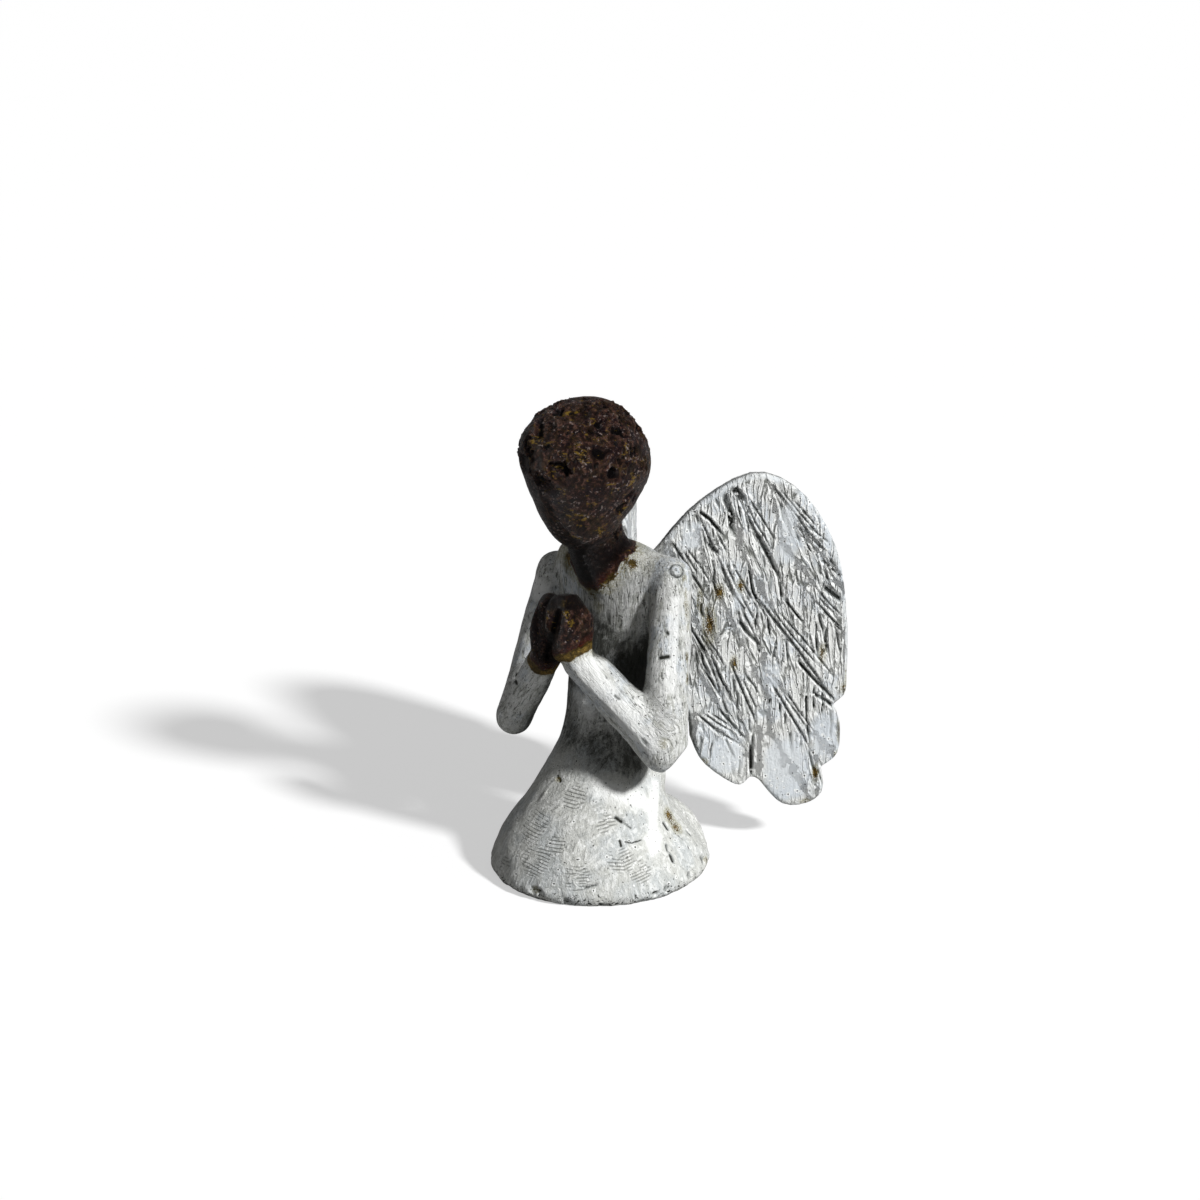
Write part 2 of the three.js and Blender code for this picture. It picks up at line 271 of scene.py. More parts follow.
class ReliefMap:
    # Heights over a wing's plane, in millimetres, on a fine grid
    def __init__(self, low, high, pitch):
        self.low = np.array(low, float)
        self.pitch = pitch
        count = [int((high[axis] - low[axis]) / pitch) + 1 for axis in range(2)]
        self.cut = np.zeros(count)
        self.burr = np.zeros(count)

    def window(self, path, reach):
        low = np.clip(((path.min(0) - reach - self.low) / self.pitch).astype(int), 0, None)
        high = ((path.max(0) + reach - self.low) / self.pitch).astype(int) + 1
        area = (slice(low[0], max(high[0], 0)), slice(low[1], max(high[1], 0)))
        grid = np.meshgrid(
            *(self.low[axis] + self.pitch * np.arange(self.cut.shape[axis])[area[axis]] for axis in range(2)),
            indexing="ij",
        )
        return area, grid

    def stroke(self, path, width, depth, burr, sharp=1.0):
        path = np.array(path, float)
        area, (out, up) = self.window(path, width + 0.6)
        if out.size == 0:
            return
        nearest = np.full(out.shape, 1e9)
        along = np.zeros(out.shape)
        lengths = np.linalg.norm(np.diff(path, axis=0), axis=1)
        walked = 0
        for start, end, length in zip(path[:-1], path[1:], lengths):
            share = ((out - start[0]) * (end[0] - start[0]) + (up - start[1]) * (end[1] - start[1]))
            share = np.clip(share / max(length, 1e-9) ** 2, 0, 1)
            aside = out - start[0] - share * (end[0] - start[0])
            gap = np.hypot(aside, up - start[1] - share * (end[1] - start[1]))
            closer = gap < nearest
            nearest = np.where(closer, gap, nearest)
            along = np.where(closer, (walked + share * length) / lengths.sum(), along)
            walked += length
        taper = np.clip(np.minimum(along * 5, (1 - along) * 3) + 0.25, 0, 1)
        half = 0.5 * width * (0.55 + 0.45 * taper)
        floor = np.clip(1 - (nearest / half) ** (2 * sharp), 0, 1)
        self.cut[area] = np.minimum(self.cut[area], -depth * taper * floor)
        ridge = burr * taper * np.exp(-((nearest - half - 0.1) / 0.16) ** 2)
        self.burr[area] = np.maximum(self.burr[area], ridge)

    def pinhole(self, place, radius, depth):
        place = np.array(place, float)
        area, (out, up) = self.window(place[None], 3 * radius)
        if out.size == 0:
            return
        gap = np.hypot(out - place[0], up - place[1]) / radius
        self.burr[area] = np.maximum(self.burr[area], 0.5 * depth * np.exp(-((gap - 1.35) / 0.5) ** 2))
        self.cut[area] = np.where(gap < 1, -depth * np.clip(1 - gap ** 2, 0, 1), self.cut[area])

    def height(self):
        opened = np.clip(-self.cut / 0.08, 0, 1)
        return self.burr * (1 - opened) + self.cut

    def read(self, values, out, up):
        column = np.clip((out - self.low[0]) / self.pitch, 0, values.shape[0] - 1.001)
        row = np.clip((up - self.low[1]) / self.pitch, 0, values.shape[1] - 1.001)
        left, bottom = column.astype(int), row.astype(int)
        right, top = column - left, row - bottom
        return (
            values[left, bottom] * (1 - right) * (1 - top) + values[left + 1, bottom] * right * (1 - top)
            + values[left, bottom + 1] * (1 - right) * top + values[left + 1, bottom + 1] * right * top
        )


def blurred(values, steps):
    for step in range(steps):
        for axis in (0, 1):
            values = (values + np.roll(values, 1, axis) + np.roll(values, -1, axis)) / 3
    return values


# Feather carving on a wing's front, in millimetres out from the root and up
frontCarving = {
    "quills": [  # start, end, how far the barbs hang from it, and their lean outward in degrees
        ((4.5, 51), (10.5, 41), 9, 9), ((8.4, 55.4), (18.6, 33.3), 9, 10),
        ((14.1, 58.4), (22.5, 42), 10, 8), ((19.8, 58.7), (28, 47), 10, 14),
        ((23.6, 52.3), (31.6, 43.4), 6, 30), ((6.5, 39), (15.5, 23), 10, 16),
        ((18, 41), (30.5, 23.8), 11, 7), ((14, 31), (18.4, 20.5), 8, 3), ((20, 28), (27.5, 15), 9, 4),
        ((25.5, 42), (31.5, 35), 16, 1), ((8.8, 23), (16.4, 17), 9, 2),
    ],
    "quillCut": {"width": 0.55, "depth": 0.32, "burr": 0.14},
    "besideCut": {"width": 0.4, "depth": 0.26, "burr": 0.12},  # strokes that follow a quill's upper side
    "besideGaps": (0.7, 1.3),
    "besideSpread": {"start": (0.05, 0.3), "end": (0.05, 0.4), "gap": (0, 0.8), "bend": 0.2},
    "quillBend": 0.25,
    "barbsPerMillimetre": 0.5,
    "barbCut": {"width": 0.42, "depth": 0.36, "burr": 0.14},
    "barbLean": 7,  # how much the barbs of a quill differ in lean
    "barbSpread": {  # what each barb draws: shares of its step, of its drop and of the cut, or millimetres
        "place": (0.1, 0.9), "start": (0, 3), "length": (0.25, 0.6),
        "bend": 0.2, "width": (0.8, 1.6), "depth": (0.6, 1.4),
    },
    "laneMargin": 0.4,  # how far a quill's barbs reach past its ends
    "laneShift": 31,  # how far the streaks of one quill are set off from those of the next
    "deepCuts": [  # path, width and depth
        ([(14.1, 58.4), (15.9, 56.0)], 1.3, 0.75), ([(15.5, 57.0), (17.0, 52.2), (19.5, 47.8)], 0.5, 0.4),
        ([(17.4, 51.6), (19.5, 47.8), (21.6, 43.6)], 1.0, 0.7),
        ([(12.6, 57.5), (13.7, 54.5), (14.1, 50.8)], 1.1, 0.7),
        ([(8.4, 55.4), (10.6, 53.6), (12.7, 51.0)], 0.7, 0.6), ([(10.2, 49.9), (12.2, 47.9)], 0.95, 0.7),
        ([(7.2, 53.9), (7.4, 51.8)], 0.6, 0.5), ([(8.4, 54.6), (9.1, 52.8)], 0.55, 0.5),
        ([(12.5, 44.8), (14.6, 41.2), (16.8, 38.4)], 0.55, 0.5),
        ([(15.1, 37.7), (16.9, 35.2), (18.6, 33.3)], 0.8, 0.6),
        ([(23.6, 52.3), (27.5, 48.6), (31.6, 43.4)], 0.5, 0.4), ([(26.5, 47.8), (31.8, 42.9)], 0.65, 0.5),
        ([(28.4, 42.2), (31.6, 39.7)], 1.4, 0.75), ([(22.2, 40.6), (25.4, 36.4)], 0.5, 0.45),
        ([(24.1, 31), (27.2, 27.4), (30.5, 23.8)], 0.7, 0.6),
        ([(26.8, 25.3), (29.4, 23.6), (31.1, 22)], 0.7, 0.5),
        ([(26, 26), (26.2, 21), (26.9, 16.1)], 0.55, 0.45), ([(17.5, 17.9), (17.6, 11.8)], 0.7, 0.55),
        ([(9.5, 30.8), (13.3, 24.4)], 0.5, 0.4), ([(10, 34.7), (14.3, 24.4)], 0.5, 0.4),
        ([(12.3, 23.5), (16.9, 17.9)], 0.6, 0.4), ([(12.9, 19.8), (15, 14.9)], 0.5, 0.4),
        ([(16.5, 46.5), (17.3, 42.0), (19.6, 37.6)], 0.5, 0.4), ([(21.6, 43.4), (21.8, 40.5)], 0.5, 0.45),
    ],
    "deepBurr": 0.18,
    "hatches": [  # patches of fine lines like a file's: middle, size, turn and depth
        ((26.5, 40), (1.4, 3.6), 48, 0.06), ((27.7, 47.2), (1.5, 0.9), 50, 0.05),
        ((13.5, 47.6), (1.6, 1.2), 40, 0.05), ((16.5, 32.5), (1.5, 1.3), 45, 0.05),
    ],
    "hatchPitch": 0.5,
    "swells": [  # smooth places that stand proud: path, radius and height
        ([(19.2, 29.4), (19.6, 27.8), (20.1, 25.4)], 0.8, 0.26), ([(20.8, 48.8), (22.0, 46.0)], 1.2, 0.12),
        ([(21.2, 16.5), (22.0, 12.5), (23.5, 9.5)], 2.4, 0.15),
        ([(26.4, 44.6), (29.0, 42.6), (31.6, 40.4)], 0.45, 0.2), ([(21.6, 21.6), (22.0, 18.5)], 0.9, 0.12),
    ],
    "pinholes": [
        (21.2, 14.1), (20.6, 12.3), (21.1, 17.0), (22.3, 16.3), (21.3, 20.8), (21.0, 22.9), (25.3, 22.1),
        (19.5, 28.4), (19.9, 27.6), (11.2, 47.6), (22.6, 44.2), (14.8, 43.8),
    ],
    "pinholeRadius": 0.26,
    "strayHoles": {"count": 240, "radius": (0.16, 0.26), "depth": 0.2},
    "planes": [  # smooth places, by pixel of the photograph, with half their size in millimetres
        ((788, 532), (1.7, 5.0)), ((692, 536), (1.7, 2.4)), ((784, 768), (3.2, 5.4)),
        ((824, 735), (1.8, 3.4)), ((771, 676), (1.4, 2.2)), ((728, 755), (2.6, 3.0)),
        ((738, 596), (0.8, 2.6)),
    ],
    "band": 0.9,  # the smooth band that runs along the leading edge
    "waves": [(3.2, 0.09), (0.6, 0.04)],  # size and height
    "seed": 11,
}


# The backs are plainer: long strokes that fan out from the root, and the same smooth rim
backCarving = {
    "hub": (6, 38),
    "top": 50,
    "spread": 118,
    "count": 22,
    "start": 3.5,
    "reach": 12,
    "extra": 11,
    "cut": {"width": 0.75, "depth": 0.34, "burr": 0.12},
    "drawn": {"turn": 2.5, "start": (0.8, 2.2), "length": (0.6, 1), "bend": 0.4},  # by each stroke
    "strayHoles": {"count": 90, "radius": (0.2, 0.34), "depth": 0.2},
    "waves": [(4.0, 0.14), (0.7, 0.05)],
    "chalkAndHighlight": 0.45,  # how thick the white lies
    "seed": 23,
}


def falling(lean):  # the way down, leaning outward by these degrees
    return np.array((math.sin(math.radians(lean)), -math.cos(math.radians(lean))))


def lanesAt(out, up):  # which quill's barbs cover each place, with the distances across and along them
    nearest = np.full(out.shape, 1e9)
    across, along = out.copy(), -up
    lane = np.full(out.shape, -1.0)
    margin = frontCarving["laneMargin"]
    for number, (start, end, drop, lean) in enumerate(frontCarving["quills"]):
        start, end, fall = np.array(start, float), np.array(end, float), falling(lean)
        length = np.linalg.norm(end - start)
        unit = (end - start) / length
        turned = unit[0] * fall[1] - unit[1] * fall[0]
        walked = ((out - start[0]) * fall[1] - (up - start[1]) * fall[0]) / turned
        dropped = (unit[0] * (up - start[1]) - unit[1] * (out - start[0])) / turned
        here = (walked > -margin) & (walked < length + margin) & (dropped > 0)
        here &= (dropped < drop) & (dropped < nearest)
        nearest = np.where(here, dropped, nearest)
        across = np.where(here, walked * abs(turned), across)
        along = np.where(here, dropped, along)
        lane = np.where(here, number, lane)
    return across, along, lane


def gridOf(relief):
    axes = [relief.low[axis] + relief.pitch * np.arange(relief.cut.shape[axis]) for axis in range(2)]
    return np.stack(np.meshgrid(*axes, indexing="ij"), -1)


def wavesOver(grid, waves, seed):
    flat = np.concatenate([grid.reshape(-1, 2), np.full((grid.shape[0] * grid.shape[1], 1), seed * 40.0)], 1)
    total = sum(height * unevenness(flat, size, seed % 7) for size, height in waves)
    return total.reshape(grid.shape[:2])


def nearPath(points, path):  # the distance of each point to a path, and how far along it that is
    path = np.array(path, float)
    nearest = np.full(len(points), 1e9)
    along = np.zeros(len(points))
    for i, (start, end) in enumerate(zip(path[:-1], path[1:])):
        share = np.clip(((points - start) @ (end - start)) / max((end - start) @ (end - start), 1e-9), 0, 1)
        gap = np.linalg.norm(points - start - share[:, None] * (end - start), axis=1)
        closer = gap < nearest
        nearest = np.where(closer, gap, nearest)
        along = np.where(closer, (i + share) / (len(path) - 1), along)
    return nearest, along


def strewHoles(relief, draw, holes):
    for hole in range(holes["count"]):
        place = [draw.uniform(*area) for area in wing["holeArea"]]
        relief.pinhole(place, draw.uniform(*holes["radius"]), holes["depth"])


def carveFront(side):
    relief = ReliefMap(**wing["map"])
    draw = np.random.default_rng(frontCarving["seed"] + side)
    cut, spread, besideSpread = (frontCarving[name] for name in ("barbCut", "barbSpread", "besideSpread"))
    for start, end, drop, lean in frontCarving["quills"]:
        start, end = np.array(start, float), np.array(end, float)
        length = np.linalg.norm(end - start)
        beside = (end - start)[::-1] * (-1, 1) / length  # up and out from the quill
        barbs = int(frontCarving["barbsPerMillimetre"] * length)
        for barb in range(barbs):
            fall = falling(lean + draw.normal(0, frontCarving["barbLean"]))
            top = start + (end - start) * (barb + draw.uniform(*spread["place"])) / barbs
            top = top + draw.uniform(*spread["start"]) * fall
            foot = top + drop * draw.uniform(*spread["length"]) * fall
            bend = (top + foot) / 2 + np.array((draw.normal(0, spread["bend"]), 0))
            relief.stroke([top, bend, foot], cut["width"] * draw.uniform(*spread["width"]),
                          cut["depth"] * draw.uniform(*spread["depth"]), cut["burr"])
        for gap in frontCarving["besideGaps"]:
            near = start + beside * gap + (end - start) * draw.uniform(*besideSpread["start"])
            far = end + beside * (gap + draw.uniform(*besideSpread["gap"]))
            far = far - (end - start) * draw.uniform(*besideSpread["end"])
            middle = (near + far) / 2 + beside * draw.normal(0, besideSpread["bend"])
            relief.stroke([near, middle, far], **frontCarving["besideCut"])
        middle = (start + end) / 2 + beside * draw.normal(0, frontCarving["quillBend"])
        relief.stroke([start, middle, end], **frontCarving["quillCut"])
    for path, width, depth in frontCarving["deepCuts"]:
        relief.stroke(path, width, depth, frontCarving["deepBurr"], sharp=1.6)
    for place in frontCarving["pinholes"]:
        relief.pinhole(place, frontCarving["pinholeRadius"], frontCarving["pinholeRadius"])
    strewHoles(relief, draw, frontCarving["strayHoles"])
    grid = gridOf(relief)
    height = relief.height() + wavesOver(grid, frontCarving["waves"], 5 + side)
    for middle, size, turn, depth in frontCarving["hatches"]:
        turn = math.radians(turn)
        away = grid - np.array(middle)
        inside = np.exp(-(away[..., 0] / size[0]) ** 4 - (away[..., 1] / size[1]) ** 4)
        phase = (away[..., 0] * math.sin(turn) - away[..., 1] * math.cos(turn)) / frontCarving["hatchPitch"]
        height = height * (1 - 0.8 * inside) + inside * depth * np.sin(2 * math.pi * phase)
    for path, radius, rise in frontCarving["swells"]:
        gap = nearPath(grid.reshape(-1, 2), path)[0].reshape(height.shape)
        inside = ease(gap, 1.3 * radius, 0.6 * radius)
        height = height * (1 - 0.7 * inside) + inside * rise
    return relief, height


def carveBack(side):
    relief = ReliefMap(**wing["map"])
    draw = np.random.default_rng(backCarving["seed"] + side)
    drawn = backCarving["drawn"]
    for i in range(backCarving["count"]):
        share = i / (backCarving["count"] - 1)
        turn = backCarving["top"] - backCarving["spread"] * share + draw.normal(0, drawn["turn"])
        turn = math.radians(turn)
        out = np.array((math.cos(turn), math.sin(turn)))
        start = np.array(backCarving["hub"]) + out * backCarving["start"] * draw.uniform(*drawn["start"])
        length = backCarving["reach"] + backCarving["extra"] * out[0]
        end = start + out * length * draw.uniform(*drawn["length"])
        bend = (start + end) / 2 + draw.normal(0, drawn["bend"], 2)
        relief.stroke([start, bend, end], **backCarving["cut"])
    strewHoles(relief, draw, backCarving["strayHoles"])
    return relief, relief.height() + wavesOver(gridOf(relief), backCarving["waves"], 15 + side)


def carveWing(skin, finder, side, hollow, chalkAndHighlight):
    out, through, up = onWing(skin.points, side)
    share = wingShare(skin.points, side)
    chosen = np.nonzero(share > 0)[0]
    edge, leading, steps = wing["edge"], wing["leading"], wing["aroundSteps"]
    rimChosen = chosen[(np.abs(through[chosen]) < edge["half"]) & (out[chosen] > edge["least"])]
    rim = KDTree(len(rimChosen))
    for i, (o, u) in enumerate(zip(out[rimChosen], up[rimChosen])):
        rim.insert((o, u, 0), i)
    rim.balance()
    gap = np.array([rim.find((o, u, 0))[2] for o, u in zip(out[chosen], up[chosen])])
    depth = through[chosen]
    face = np.abs(depth) > wing["core"]
    inward = np.clip(gap / wing["rimRound"], 0, 1)
    level = wing["core"] + (wing["halfThickness"] - wing["core"]) * np.sqrt(1 - (1 - inward) ** 2)
    where = (out[chosen], up[chosen])

    def readMaps(ofFront, ofBack):  # a value of either face's map at the chosen points
        return np.where(depth > 0, front.read(ofFront, *where), back.read(ofBack, *where))

    front, frontHeight = carveFront(side)
    back, backHeight = carveBack(side)
    relief = readMaps(frontHeight, backHeight)
    sunk = -readMaps(frontHeight - blurred(frontHeight, steps), backHeight - blurred(backHeight, steps))
    onLeading = (up[chosen] > leading["up"]) | (out[chosen] > leading["out"])
    band = frontCarving["band"]
    fade = np.where(onLeading, ease(gap, 0.5 * band, 1.5 * band), ease(gap, *wing["lobeFade"]))
    plane = np.where(onLeading, 0.55 * (1 - fade), 0)
    for pixel, size in frontCarving["planes"]:
        middle = onWing(finder.atPixel(pixel)[None], 1)
        away = ((where[0] - middle[0]) / size[0]) ** 4 + ((where[1] - middle[2]) / size[1]) ** 4
        plane = np.where(depth > 0, np.maximum(plane, np.exp(-away)), backCarving["chalkAndHighlight"])
    chalkAndHighlight[chosen] = plane * share[chosen]
    fade = fade * (1 - 0.6 * plane)
    wanted = np.sign(depth) * (level + relief * fade)
    move = np.where(face, wanted - depth, 0) * share[chosen]
    skin.points[chosen] += wingFront(side)[None] * move[:, None]
    # Grey wash and painted shade in the carving's hollows and on the edges
    dirtAndShade = np.where(face, sunk * fade, wing["rimWashAndShade"])
    hollow[chosen] = hollow[chosen] * (1 - share[chosen]) + dirtAndShade * share[chosen]


# Node trees

def pick(sockets, key):  # by place, by name, or by identifier where names repeat
    if isinstance(key, int):
        return sockets[key]
    return sockets.get(key) or next(socket for socket in sockets if socket.identifier == key)


class Tree:
    # A node tree with short calls for the nodes that the pits and the paints use
    def __init__(self, tree):
        self.tree = tree

    def add(self, kind, given=(), **settings):
        node = self.tree.nodes.new(kind)
        for name, value in settings.items():
            setattr(node, name, value)
        for key, value in dict(given).items():
            self.feed(pick(node.inputs, key), value)
        return node

    def feed(self, socket, value):
        if isinstance(value, bpy.types.NodeSocket):
            self.tree.links.new(value, socket)
        else:
            socket.default_value = value

    def math(self, operation, *values, clamp=False):
        return self.add("ShaderNodeMath", enumerate(values), operation=operation, use_clamp=clamp).outputs[0]

    def times(self, first, *others):
        for other in others:
            first = self.math("MULTIPLY", first, other)
        return first

    def plus(self, first, *others):
        for other in others:
            first = self.math("ADD", first, other)
        return first

    def minus(self, first, second):
        return self.math("SUBTRACT", first, second)

    def without(self, value, much=1.0):  # 1 less this much of a value
        return self.minus(1.0, self.times(value, much))

    def swing(self, noise, much):  # a noise that swings to both sides of nothing
        return self.times(self.minus(noise, 0.5), much)

    def vector(self, operation, *values):
        return self.add("ShaderNodeVectorMath", enumerate(values), operation=operation).outputs[0]

    def ramp(self, value, low, high, start=0.0, end=1.0):
        given = enumerate((value, low, high, start, end))
        return self.add("ShaderNodeMapRange", given, interpolation_type="SMOOTHSTEP").outputs[0]

    def mix(self, share, first, second):
        given = {"Factor_Float": share, "A_Color": first, "B_Color": second}
        return pick(self.add("ShaderNodeMix", given, data_type="RGBA").outputs, "Result_Color")

    def noise(self, place, scale, detail=4.0, roughness=0.55, distortion=0.0):
        given = {"Vector": place, "Scale": scale, "Detail": detail}
        given.update({"Roughness": roughness, "Distortion": distortion})
        return self.add("ShaderNodeTexNoise", given).outputs["Fac"]

    def colourNoise(self, place, scale):
        return self.add("ShaderNodeTexNoise", {"Vector": place, "Scale": scale}).outputs["Color"]

    def turn(self, place, axis, angle):
        given = {"Vector": place, "Axis": axis, "Angle": angle}
        return self.add("ShaderNodeVectorRotate", given, rotation_type="AXIS_ANGLE").outputs["Vector"]

    def separated(self, vector):
        return self.add("ShaderNodeSeparateXYZ", {0: vector}).outputs

    def lots(self, cells):  # numbers drawn at random for each cell
        return self.add("ShaderNodeSeparateColor", {"Color": cells.outputs["Color"]}).outputs

    def mark(self, name, output="Fac"):
        return self.add("ShaderNodeAttribute", attribute_name=name).outputs[output]


# Where a feature of the photograph lies on the casting

def rayTree(skin):
    quads = [tuple(quad) for quad in skin.quads.tolist()]
    return BVHTree.FromPolygons([tuple(point) for point in skin.points], quads)


class Finder:
    def __init__(self, skin):
        self.tree = rayTree(skin)

    def atPixel(self, pixel):  # the first surface that the camera sees there, in millimetres
        scale = viewpoint["lens"] / viewpoint["sensor"] * viewpoint["pictureSize"]
        middle = viewpoint["pictureSize"] / 2
        ray = Vector(((pixel[0] - middle) / scale, (middle - pixel[1]) / scale, -1)).normalized()
        ray = camera.matrix_world.to_3x3() @ ray
        eye = camera.matrix_world.translation / mm
        place = self.tree.ray_cast(eye, ray)[0]
        if place is None:  # just outside the outline: the nearest skin
            place = eye + ray * viewpoint["distance"] / mm
            for step in range(6):
                place = self.tree.find_nearest(eye + ray * (place - eye).dot(ray))[0]
        return np.array(place)

    def fromAfar(self, middle, turn, rise):  # the skin seen from outside
        out = outward(turn, rise)
        place = self.tree.ray_cast(Vector(middle) + out * 30, -out)[0]
        return np.array(place) if place else None


def traced(skin, finder, pixels, half):  # 1 along a line of pixels, fading to both sides, and how far along
    gap, along = nearPath(skin.points, [finder.atPixel(pixel) for pixel in pixels])
    return np.exp(-(gap / half) ** 2), along


def spreadOver(points, place, radius):
    return np.exp(-(((points - place) / radius) ** 2).sum(1))


head = {
    "middle": (0.2, -3.9, 62.65),
    "neckTop": 52.0,
    "patches": {"size": 4.0, "low": -0.45, "high": 0.3, "seed": 47},  # where the skin is rougher
    "wavesSeed": 31,
    "crown": {"lean": 0.35, "low": 63, "high": 69},  # where the pits are thickest
    "front": {"from": -6.5, "to": -8.5, "low": 63, "high": 66, "calm": 0.7},  # where the skin is calmer
    "waves": [(4.5, 0.32), (1.7, 0.22), (0.75, 0.12)],  # size and height
    "seenPits": [  # pixel of the photograph, radius and depth
        ((600, 453), 1.5, 0.6), ((612, 475), 1.15, 0.65), ((616, 431), 1.25, 0.4), ((634, 453), 0.8, 0.5),
        ((637, 430), 0.8, 0.5), ((630, 495), 1.3, 0.45), ((623, 507), 1.1, 0.5), ((538, 434), 1.2, 0.4),
        ((580, 416), 1.8, 0.35), ((598, 424), 0.9, 0.4), ((603, 405), 0.8, 0.3), ((564, 470), 0.8, 0.25),
        ((620, 460), 0.7, 0.2), ((528, 450), 0.8, 0.35), ((530, 468), 0.7, 0.3),
    ],
    "sockets": {"turn": 21, "rise": 15, "radius": 2.1, "depth": 0.5},
    "nose": {"top": 17, "foot": -12, "radius": 1.0, "height": 0.4},
    "brow": {"pixel": (528, 424), "radius": 2.4, "height": 0.4},
}


def scatterTree(paint):
    # Bowls with low rims, sunk at scattered points of the skin where the mark "pocked" allows them
    group = bpy.data.node_groups.new("scatteredPits", "GeometryNodeTree")
    sockets = {}
    for title in ("Geometry", "Spacing", "Smallest", "Largest", "Depth", "Rim", "Roughness", "Seed"):
        kind = {"Geometry": "Geometry", "Seed": "Int"}.get(title, "Float")
        made = group.interface.new_socket(name=title, in_out="INPUT", socket_type="NodeSocket" + kind)
        sockets[title] = made.identifier
    group.interface.new_socket(name="Geometry", in_out="OUTPUT", socket_type="NodeSocketGeometry")
    tree = Tree(group)
    given = tree.add("NodeGroupInput").outputs

    def stored(name):
        named = tree.add("GeometryNodeInputNamedAttribute", {"Name": name}, data_type="FLOAT")
        return named.outputs["Attribute"]

    def ofNearest(value, kind):  # a value of the scattered point that lies nearest
        wanted = {"Geometry": sized, "Value": value, "Index": nearest}
        return tree.add("GeometryNodeSampleIndex", wanted, data_type=kind, domain="POINT").outputs["Value"]

    pocked = stored("pocked")
    strewn = tree.add("GeometryNodeDistributePointsOnFaces", {
        "Mesh": given["Geometry"],
        "Distance Min": given["Spacing"],
        "Density Max": 4.0,
        "Density Factor": pocked,
        "Seed": given["Seed"],
    }, distribute_method="POISSON")
    drawn = {"Min_001": given["Smallest"], "Max_001": given["Largest"]}
    drawn = pick(tree.add("FunctionNodeRandomValue", drawn, data_type="FLOAT").outputs, "Value_001")
    sized = {"Geometry": strewn.outputs["Points"], "Name": "pitRadius", "Value": drawn}
    sized = tree.add("GeometryNodeStoreNamedAttribute", sized, data_type="FLOAT", domain="POINT").outputs[0]
    here = tree.add("GeometryNodeInputPosition").outputs["Position"]
    nearest = {"Geometry": sized, "Sample Position": here}
    nearest = tree.add("GeometryNodeSampleNearest", nearest, domain="POINT").outputs["Index"]
    radius = ofNearest(stored("pitRadius"), "FLOAT")
    away = {0: here, 1: ofNearest(here, "FLOAT_VECTOR")}
    away = tree.add("ShaderNodeVectorMath", away, operation="DISTANCE").outputs["Value"]
    ragged = tree.times(tree.minus(tree.noise(here, 1.1, 2.0), 0.5), given["Roughness"])
    gap = tree.times(tree.math("DIVIDE", away, radius), tree.plus(1.0, ragged))
    bowl = tree.times(tree.math("SUBTRACT", 1.0, tree.times(gap, gap), clamp=True), given["Depth"])
    rim = tree.times(tree.ramp(gap, 0.85, 1.1), tree.ramp(gap, 1.1, 1.55, 1.0, 0.0), given["Rim"])
    height = tree.times(radius, tree.minus(rim, bowl), tree.ramp(pocked, 0.0, 0.1))
    offset = {0: tree.add("GeometryNodeInputNormal").outputs["Normal"], "Scale": height}
    offset = tree.add("ShaderNodeVectorMath", offset, operation="SCALE").outputs["Vector"]
    made = tree.add("GeometryNodeSetPosition", {"Geometry": given["Geometry"], "Offset": offset})
    made = tree.add("GeometryNodeRealizeInstances", {"Geometry": made.outputs[0]})
    made = tree.add("GeometryNodeSetMaterial", {"Geometry": made.outputs[0], "Material": paint})
    tree.add("NodeGroupOutput", {"Geometry": made.outputs[0]})
    return group, sockets


scattered = {  # two scatterings, the small pits over the large
    "Spacing": (2.9, 1.1),
    "Smallest": (0.4, 0.12),
    "Largest": (1.2, 0.45),
    "Depth": (0.36, 0.5),
    "Rim": (0.18, 0.25),
    "Roughness": (3.0, 2.6),
    "Seed": (4, 9),
}


def scatterPits(piece, skin, pocked):
    writePoints(piece.data, skin.points)
    addMark(piece.data, "pocked", pocked)
    group, sockets = scatterTree(piece.data.materials[0])
    for number in range(2):
        modifier = piece.modifiers.new(f"pits{number}", "NODES")
        modifier.node_group = group
        for title, values in scattered.items():
            modifier[sockets[title]] = values[number]
    bakeModifiers(piece)
    piece.data.attributes.remove(piece.data.attributes["pocked"])
    skin.points = readPoints(piece.data)


def dent(skin, place, radius, depth, rim=0.25, rough=0.4, seed=3):
    gap = np.linalg.norm(skin.points - place, axis=1)
    near = np.nonzero(gap < 2.4 * radius)[0]
    gap = gap[near] / radius * (1 + rough * unevenness(skin.points[near], 0.8 * radius, seed))
    broken = 0.5 + 0.5 * unevenness(skin.points[near], 1.1 * radius, seed + 1)
    bowl = np.clip(1.45 * (1 - gap ** 2), 0, 1)
    height = depth * (rim * broken * np.exp(-((gap - 1.2) / 0.25) ** 2) - bowl)
    moved = np.zeros(len(skin.points))
    moved[near] = height
    return moved


def onHead(skin):
    above = ease(skin.points[:, 2], head["neckTop"] - 1, head["neckTop"] + 2)
    return above * (np.abs(skin.points[:, 0]) < 9.9) * (skin.points[:, 1] < 6.9)


